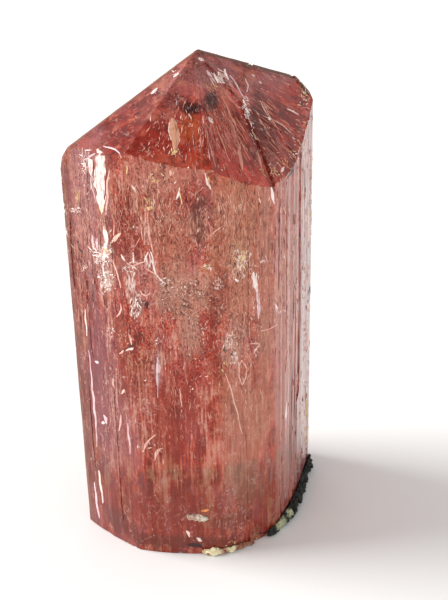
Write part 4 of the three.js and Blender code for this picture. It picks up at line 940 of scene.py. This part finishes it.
# Clusters of small fractures. Each has a pixel of the photo, how far it spreads across and down in
# pixels, how many bits it has, how long they are in mm and how they lean from upright in degrees, or
# "radial" where they point away from the middle.
clusters = {
    "whiteBits": {
        "colour": "white", "width": 0.06, "seed": 3,
        "spots": {
            "besidePlate": ((85, 162), (4, 12), 26, 0.42, 45),
            "plateEdge": ((92, 180), (3, 14), 14, 0.36, 10),
            "leftSparkle": ((76, 210), (9, 5), 26, 0.22, 40),
            "leftBits": ((87, 191), (5, 9), 9, 0.2, 30),
            "featherTop": ((104, 234), (4, 10), 12, 0.3, 5),
            "featherHeart": ((102.5, 254.5), (11, 10), 90, 0.34, "radial"),
            "featherFoot": ((105.5, 279), (7, 12), 120, 0.17, 50),
            "featherToe": ((107.5, 287), (5, 5), 40, 0.16, 60),
            "featherEdge": ((96, 262), (7, 9), 20, 0.3, -50),
            "besideFeather": ((84, 268), (6, 4), 10, 0.22, 60),
            "aShape": ((149, 262), (5, 10), 16, 0.36, 5),
            "middleSpray": ((131, 268), (10, 6), 24, 0.28, 50),
            "uprightFan": ((131, 284), (5, 11), 22, 0.5, 4),
            "whiteTangle": ((136, 304), (5, 13), 80, 0.24, 20),
            "goldWhite": ((240, 262), (12, 16), 50, 0.24, 40),
            "crackWhite": ((190, 296), (40, 26), 50, 0.16, 60),
            "upperSparks": ((175, 220), (70, 50), 40, 0.14, 40),
            "lowSparks": ((190, 350), (60, 50), 26, 0.14, 40),
            "crackTop": ((164, 284), (9, 7), 16, 0.18, 60),
            "rightBright": ((255, 280), (4, 9), 26, 0.26, 10),
            "rightBrightFoot": ((255, 303), (4, 9), 16, 0.22, 0),
            "rightV": ((240, 262), (9, 12), 26, 0.34, 40),
            "rightArc": ((266, 259), (9, 4), 12, 0.26, 30),
            "crackRight": ((206, 267), (6, 4), 10, 0.24, 70),
            "crackFar": ((218, 287), (5, 6), 18, 0.24, 35),
            "lowTangle": ((229, 342), (7, 12), 44, 0.24, 40),
            "lowTangleFoot": ((235, 358), (6, 7), 26, 0.24, 40),
            "beadString": ((204, 332), (3, 11), 14, 0.14, 30),
            "arrowBits": ((256, 350), (4, 8), 10, 0.2, 30),
            "sideBits": ((280, 306), (9, 14), 9, 0.2, 25),
            "sideHigh": ((284, 258), (9, 6), 9, 0.2, 20),
            "ridgeTop": ((220, 78), (9, 6), 46, 0.3, 14),
            "ridgeMiddle": ((246, 110), (4, 12), 50, 0.22, 25),
            "ridgeFoot": ((254, 134), (4, 10), 12, 0.2, 25),
            "slopeLeft": ((155, 91), (3, 3), 6, 0.2, 40),
            "slopeTop": ((176, 73), (5, 4), 10, 0.2, 50),
            "edgeSparkle": ((305, 97), (4, 16), 40, 0.2, 60),
            "rimSparkle": ((295, 145), (8, 22), 16, 0.2, 40),
            "smallArcs": ((110, 330), (6, 6), 14, 0.17, 50),
            "dashes": ((158, 341), (4, 5), 8, 0.18, 50),
            "lowGlints": ((146, 446), (8, 8), 8, 0.2, 60),
        },
    },
    "rosyBits": {
        "colour": "rosy", "width": 0.045, "seed": 4,
        "spots": {
            "leftUpper": ((80, 175), (8, 20), 40, 0.26, 20),
            "leftLower": ((84, 228), (9, 22), 50, 0.34, 8),
            "underPlate": ((100, 222), (9, 9), 30, 0.3, 10),
            "upperMiddle": ((150, 180), (24, 12), 60, 0.2, 30),
            "middle": ((165, 222), (24, 20), 60, 0.18, 30),
            "middleLow": ((128, 286), (10, 16), 46, 0.34, 6),
            "arcDots": ((124, 338), (9, 9), 30, 0.16, 60),
            "crackBand": ((184, 292), (24, 18), 120, 0.13, 70),
            "crackFoot": ((190, 334), (8, 20), 50, 0.16, 20),
            "upperRight": ((232, 210), (20, 24), 60, 0.22, 20),
            "rightTangle": ((240, 262), (15, 18), 60, 0.26, 40),
            "rightLow": ((238, 330), (16, 24), 80, 0.22, 30),
            "rightFoot": ((246, 390), (12, 30), 40, 0.26, 10),
            "sides": ((282, 290), (12, 70), 60, 0.3, 4),
            "lowLeft": ((112, 420), (12, 44), 50, 0.34, 4),
            "lowMiddle": ((165, 440), (30, 40), 24, 0.18, 30),
            "foot": ((150, 500), (30, 18), 9, 0.16, 40),
            "slopes": ((150, 122), (22, 12), 14, 0.18, 40),
            "tipFront": ((160, 150), (20, 6), 30, 0.16, 20),
            "rightSlope": ((268, 122), (14, 22), 26, 0.3, 12),
        },
    },
    "paleThreads": {
        "colour": "salmon", "width": 0.035, "seed": 21,
        "spots": {
            "upperLeft": ((140, 212), (36, 40), 260, 0.44, 14),
            "upperMiddle": ((196, 222), (40, 44), 270, 0.4, 20),
            "upperRight": ((240, 230), (20, 60), 220, 0.44, 14),
            "leftFace": ((84, 260), (14, 90), 200, 0.4, 8),
            "crackBand": ((185, 298), (60, 32), 300, 0.32, 40),
            "lowRight": ((238, 340), (24, 50), 240, 0.36, 26),
            "lowMiddle": ((150, 350), (44, 44), 120, 0.36, 16),
            "low": ((180, 410), (60, 44), 120, 0.34, 12),
            "side": ((280, 280), (20, 110), 160, 0.45, 5),
            "tip": ((200, 130), (56, 34), 160, 0.34, 10),
        },
    },
    "darkThreads": {
        "colour": "maroon", "width": 0.035, "seed": 22,
        "spots": {
            "upperLeft": ((140, 212), (36, 40), 110, 0.4, 12),
            "upperMiddle": ((196, 222), (40, 44), 140, 0.34, 18),
            "upperRight": ((240, 230), (20, 60), 110, 0.36, 14),
            "leftFace": ((84, 260), (14, 90), 110, 0.36, 8),
            "crackBand": ((185, 298), (60, 32), 160, 0.24, 40),
            "lowRight": ((238, 340), (24, 50), 130, 0.3, 26),
            "lowMiddle": ((150, 350), (44, 44), 70, 0.3, 16),
            "side": ((282, 280), (20, 110), 70, 0.45, 4),
            "tip": ((205, 128), (56, 34), 120, 0.3, 10),
        },
    },
    "paleRays": {
        "colour": "dusty", "width": 0.045, "seed": 11,
        "spots": {
            "front": ((214, 138), (18, 20), 36, 0.8, 9),
            "rightOfFront": ((236, 134), (14, 20), 64, 0.9, 9),
            "rightSlope": ((274, 122), (14, 22), 34, 0.7, 9),
            "underSparkle": ((224, 92), (9, 8), 22, 0.5, 12),
        },
    },
    "redRays": {
        "colour": "maroon", "width": 0.045, "seed": 12,
        "spots": {
            "front": ((208, 140), (20, 20), 20, 0.8, 9),
            "rightOfFront": ((238, 128), (14, 22), 40, 0.9, 9),
            "rightSlope": ((264, 132), (14, 24), 60, 0.8, 9),
            "leftOfSpots": ((176, 100), (8, 9), 30, 0.4, 25),
            "aroundSpots": ((200, 106), (16, 7), 46, 0.4, 25),
        },
    },
    "amberBits": {
        "colour": "amber", "width": 0.05, "seed": 5,
        "spots": {
            "leftAmber": ((77, 196), (3, 8), 18, 0.26, 20),
            "middleAmber": ((149, 203), (6, 7), 14, 0.26, 30),
            "underRim": ((160, 176), (14, 8), 16, 0.2, 30),
            "rimAmber": ((208, 181), (3, 6), 10, 0.24, 10),
            "featherAmber": ((105, 252), (6, 6), 16, 0.22, 50),
            "pitAmber": ((175, 151), (5, 3), 10, 0.2, 40),
            "tipAmber": ((214, 86), (9, 5), 18, 0.24, 50),
            "goldTangle": ((240, 256), (10, 13), 40, 0.24, 40),
            "crackAmber": ((206, 267), (7, 4), 12, 0.2, 60),
            "lowAmber": ((224, 368), (4, 10), 12, 0.2, 20),
            "footAmber": ((236, 545), (14, 5), 20, 0.2, 80),
            "edgeAmber": ((272, 172), (10, 7), 22, 0.22, 45),
            "roughEdge": ((304, 95), (4, 16), 30, 0.22, 60),
            "rimHigh": ((304, 126), (2, 7), 9, 0.18, 30),
            "rimMiddle": ((299, 140), (2, 7), 9, 0.18, 30),
            "rimLow": ((292, 152), (3, 7), 9, 0.18, 30),
            "rimEnd": ((286, 163), (3, 6), 9, 0.18, 30),
        },
    },
    "darkBits": {
        "colour": "dark", "width": 0.05, "seed": 8,
        "spots": {
            "leftSpecks": ((80, 247), (4, 5), 6, 0.18, 60),
            "crackSpecks": ((182, 293), (24, 16), 44, 0.09, 60),
            "amongFeather": ((104, 270), (8, 10), 26, 0.12, 40),
            "amongTangle": ((137, 306), (6, 11), 18, 0.14, 30),
            "amongGold": ((238, 262), (11, 16), 26, 0.2, 40),
            "amongLowTangle": ((231, 350), (9, 14), 26, 0.16, 50),
            "edgeNicks": ((290, 170), (5, 7), 8, 0.2, 40),
            "leftEdge": ((63, 190), (1, 9), 8, 0.16, 10),
            "rightUpper": ((246, 186), (14, 8), 14, 0.2, 40),
            "roughEdge": ((304, 95), (4, 16), 40, 0.2, 60),
            "amongRidge": ((247, 112), (3, 9), 16, 0.18, 20),
            "topSpecks": ((222, 82), (9, 6), 14, 0.2, 10),
            "spotEdges": ((192, 108), (9, 4), 34, 0.26, 30),
            "spotRightEdges": ((211, 100), (7, 6), 30, 0.26, 30),
        },
    },
}


def strokeMesh():
    # A short crooked sliver, one unit long and one wide, pointed at both ends, with a raised middle
    steps = 4
    mesh = bpy.data.meshes.new("sliver")
    verts, faces = [], []
    for i in range(steps + 1):
        t = i / steps
        half = 0.5 * math.sin(math.pi * (0.06 + 0.88 * t))
        bend = 0.12 * math.sin(4.4 * t)
        verts += [(-0.05, bend - half, t - 0.5), (0.03, bend, t - 0.5), (-0.05, bend + half, t - 0.5)]
    for i in range(steps):
        for j in (0, 1):
            low, high = 3 * i + j, 3 * i + 3 + j
            faces.append((low, low + 1, high + 1, high))
    mesh.from_pydata(verts, [], faces)
    return mesh


def scatterTree(name):
    # Places a shape at every point, turned and sized by the points' own attributes
    tree, given = newTree(name, {"Shape": "Object", "Wobble": "Float", "Seed": "Int"})
    shape = addNode(tree, "GeometryNodeObjectInfo", {"Object": given["Shape"]})
    size, turn = (
        addNode(tree, "GeometryNodeInputNamedAttribute", {"Name": key}, data_type="FLOAT_VECTOR")
        for key in ("size", "turn"))
    low, high = (
        addNode(tree, "ShaderNodeVectorMath", {0: end, "Scale": given["Wobble"]}, operation="SCALE")
        for end in ((-1, -1, -1), (1, 1, 1)))
    wobble = addNode(tree, "FunctionNodeRandomValue", {
        "Min": low.outputs["Vector"], "Max": high.outputs["Vector"], "Seed": given["Seed"]},
        data_type="FLOAT_VECTOR")
    whole = addNode(tree, "ShaderNodeVectorMath", {
        0: turn.outputs["Attribute"], 1: wobble.outputs["Value"]}, operation="ADD")
    spin = addNode(tree, "FunctionNodeEulerToRotation", {"Euler": whole.outputs["Vector"]})
    placed = addNode(tree, "GeometryNodeInstanceOnPoints", {
        "Points": given["Start"], "Instance": shape.outputs["Geometry"],
        "Rotation": spin.outputs["Rotation"], "Scale": size.outputs["Attribute"]})
    return endTree(tree, given, placed.outputs["Instances"])


def scattered(name, points, shapeMesh, material, wobble, seed):
    # Real mesh of a shape at every point. A point is its place, its size and its turn.
    carrier = bpy.data.meshes.new(name + "Points")
    carrier.from_pydata([p[0] for p in points], [], [])
    for key, index in (("size", 1), ("turn", 2)):
        attribute = carrier.attributes.new(key, "FLOAT_VECTOR", "POINT")
        for item, point in zip(attribute.data, points):
            item.vector = point[index]
    holder = newPiece(name + "Points", carrier)
    shape = newPiece(name + "Shape", shapeMesh)
    mesh = worked(holder, scatterTree(name + "Scatter"), {
        "Shape": shape, "Finish": material, "Wobble": wobble, "Seed": seed})
    bpy.data.objects.remove(shape)
    piece = newPiece(name, mesh, material)
    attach(piece, "root")


def lyingOn(place, normal, lean):
    # Turn of a sliver that lies on a face and leans from the face's upward line, or from the line to the
    # tip where the face slopes
    up = topaz["tip"] * mm - place if normal.z > ramps["sloping"][0] else Vector((0, 0, 1))
    along = (up - normal * up.dot(normal)).normalized()
    along = Matrix.Rotation(lean, 3, normal) @ along
    side = along.cross(normal)
    return Matrix((normal, side, along)).transposed().to_euler()


# Every bit's lift off the face in mm, its length and width as shares of those in the table, its thickness in
# mm, and, in radians, how loosely the bits of a radial cluster point outwards and how much any bit tilts
bit = {"lift": (-0.012, 0.02), "long": (0.6, 1.7), "wide": (0.8, 1.9), "thick": 0.4, "loose": 0.3,
       "tilt": 0.06}


def hiddenBits(skin, name, chance):
    # Places, normals, lengths and angles of the bits of one kind on the sides that the photo doesn't show
    sector, clump, single = (hiddenSides[key] for key in ("sector", "clump", "single"))
    spots = []
    for _ in range(hiddenSides["clumps"].get(name, 0)):
        angle = math.radians(chance.uniform(*sector))
        aside, height, wide, tall, lean, long = (chance.uniform(*span) for span in clump.values())
        for _ in range(chance.randint(*hiddenSides["clumpBits"])):
            spots.append((angle, aside + chance.gauss(0, wide), height + chance.gauss(0, tall), long, lean))
    for _ in range(hiddenSides["singles"].get(name, 0)):
        angle = math.radians(chance.uniform(*sector))
        aside, height = (chance.uniform(*span) for span in single.values())
        spots.append((angle, aside, height, hiddenSides["singleLong"], hiddenSides["singleLean"]))
    found = []
    for angle, aside, height, long, lean in spots:
        place, normal = castInwards(skin, angle, aside, height, chance.uniform(*bit["lift"]))
        if place is not None:
            found.append((place, normal, long, math.radians(chance.gauss(0, 1) * lean)))
    return found


def makeClusters(skin):
    for name, group in clusters.items():
        chance = random.Random(group["seed"])
        found = []
        for (px, py), (spreadX, spreadY), count, length, lean in group["spots"].values():
            for _ in range(count):
                x = px + chance.gauss(0, 0.5) * spreadX
                y = py + chance.gauss(0, 0.5) * spreadY
                place, normal = onPhoto(skin, x, y, chance.uniform(*bit["lift"]))
                if place is None:
                    continue
                if lean == "radial":
                    angle = chance.gauss(0, bit["loose"]) - math.atan2(x - px, py - y)
                else:
                    angle = math.radians(chance.gauss(0, 1) * lean)
                found.append((place, normal, length, angle))
        found += hiddenBits(skin, name, random.Random(hiddenSides["seed"] + group["seed"]))
        points = []
        for place, normal, length, angle in found:
            long = length * chance.uniform(*bit["long"])
            wide = group["width"] * chance.uniform(*bit["wide"])
            points.append((place, Vector((bit["thick"], wide, long)) * mm, lyingOn(place, normal, angle)))
        material = crackMaterial(name + "Crack", fractureColours[group["colour"]])
        scattered(name, points, strokeMesh(), material, bit["tilt"], group["seed"])
        print(name, len(points), "slivers")


# Mineral crusts: two base colours, a third for patches, the pixels of the photo in the middle of the patches
# and their reach in mm, the grain, the depth and the width of the lumps in mm, and how many crumbs there are
# and between which sizes in mm
crusts = {
    "dark_crust": {
        "slot": "dark_mineral", "dark": "#060705", "pale": "#262a20", "patch": "#b9bc98",
        "patches": [((280, 523), 0.75), ((290, 513), 0.45)], "grain": 0.2, "rough": 0.85, "across": 0.3,
        "crumbs": 620, "crumb": (0.1, 0.34)},
    "cream_crust": {
        "slot": "cream_mineral", "dark": "#7c3f30", "pale": "#b98260", "patch": "#f1e6bd",
        "patches": [((213, 552), 0.9), ((232, 548), 0.5)], "grain": 0.25, "rough": 0.7, "across": 0.4,
        "crumbs": 260, "crumb": (0.06, 0.2)},
    "cream_fleck": {
        "slot": "cream_mineral", "dark": "#9c6e5c", "pale": "#dcc3b2", "patch": "#eadbc9",
        "patches": [((202, 518), 0.5)], "grain": 0.2, "rough": 0.5, "across": 0.3,
        "crumbs": 40, "crumb": (0.05, 0.14)},
}
# What the crusts have in common: where the grain turns pale, where a patch has flecks and their size in mm,
# how the roughness follows the grain, the relief, and below what height in mm no crumb sits
crustLook = {"paler": (0.38, 0.66, 0, 1), "flecked": (0.36, 0.44, 0, 1), "fleck": (0.3, 0.3, 3.0),
             "rough": (0.3, 0.7, 0.45, 0.85), "relief": (0.8, 0.05), "crumbsAbove": 0.2, "seed": 6}


def crustMaterial(name, look, skin):
    # Dull, crumbly mineral with paler patches
    material, tree, place = newMaterial(name)
    grain = drawnNoise(tree, place, look["grain"], look["grain"], detail=6.0, roughness=0.7)
    colour = laidOver(tree, linear(look["dark"]), linear(look["pale"]), (grain, crustLook["paler"]))
    flecks = shown(tree, (drawnNoise(tree, place, *crustLook["fleck"]), crustLook["flecked"]))
    for at, reach in look["patches"]:
        middle, _ = onPhoto(skin, *at)
        away = addNode(tree, "ShaderNodeVectorMath", {0: place, 1: middle}, operation="DISTANCE")
        colour = laidOver(tree, colour, linear(look["patch"]), flecks,
                          (away.outputs["Value"], (0.4 * reach * mm, reach * mm, 1, 0)))
    surfaced(tree, grain, crustLook["relief"], {
        "Base Color": colour, "Roughness": shown(tree, (grain, crustLook["rough"]))})
    return material


def crumbMesh():
    # An uneven grain, one unit across
    chance = random.Random(2)
    work = bmesh.new()
    bmesh.ops.create_icosphere(work, subdivisions=1, radius=0.5)
    for vert in work.verts:
        vert.co *= chance.uniform(0.7, 1.1)
    mesh = bpy.data.meshes.new("crumb")
    work.to_mesh(mesh)
    work.free()
    return mesh


def makeCrumbs(node, crust, look, material):
    # Grains stuck all over a crust, so that it looks crumbly and not like a row of beads
    chance = random.Random(node)
    points = []
    while len(points) < look["crumbs"]:
        face = chance.choice(crust.data.polygons)
        place = Vector(face.center)
        if place.z < crustLook["crumbsAbove"] * mm:
            continue
        wide = chance.uniform(*look["crumb"])
        shape = Vector((wide, wide * chance.uniform(0.6, 1), wide * chance.uniform(0.5, 1))) * mm
        points.append((place, shape, (chance.uniform(0, 3), chance.uniform(0, 3), chance.uniform(0, 6))))
    scattered(node + "Crumbs", points, crumbMesh(), material, 0.2, crustLook["seed"])


def makeCrusts():
    for node, look in crusts.items():
        mesh, work = mergedCopy(node, node)
        work.to_mesh(mesh)
        material = crustMaterial(node + "Mineral", look, BVHTree.FromBMesh(work))
        work.free()
        piece = relieved(node + "Mineral", mesh, material, Cuts=2, Depth=look["rough"] * mm, Ground=0.2 * mm,
                         Across=look["across"] * mm, Up=look["across"] * mm, Seed=1.0)
        piece.data.shade_smooth()
        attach(piece, "root")
        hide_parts(node)
        makeCrumbs(node, piece, look, material)


bpy.context.scene.view_settings.view_transform = "Standard"
makeCamera()
makeStudio()
print("camera and studio ready")
crystal, skin = makeCrystal()
print("crystal ready", len(crystal.data.polygons), "faces")
makeFractures(skin)
makeClusters(skin)
makeCrusts()
print("crusts ready")
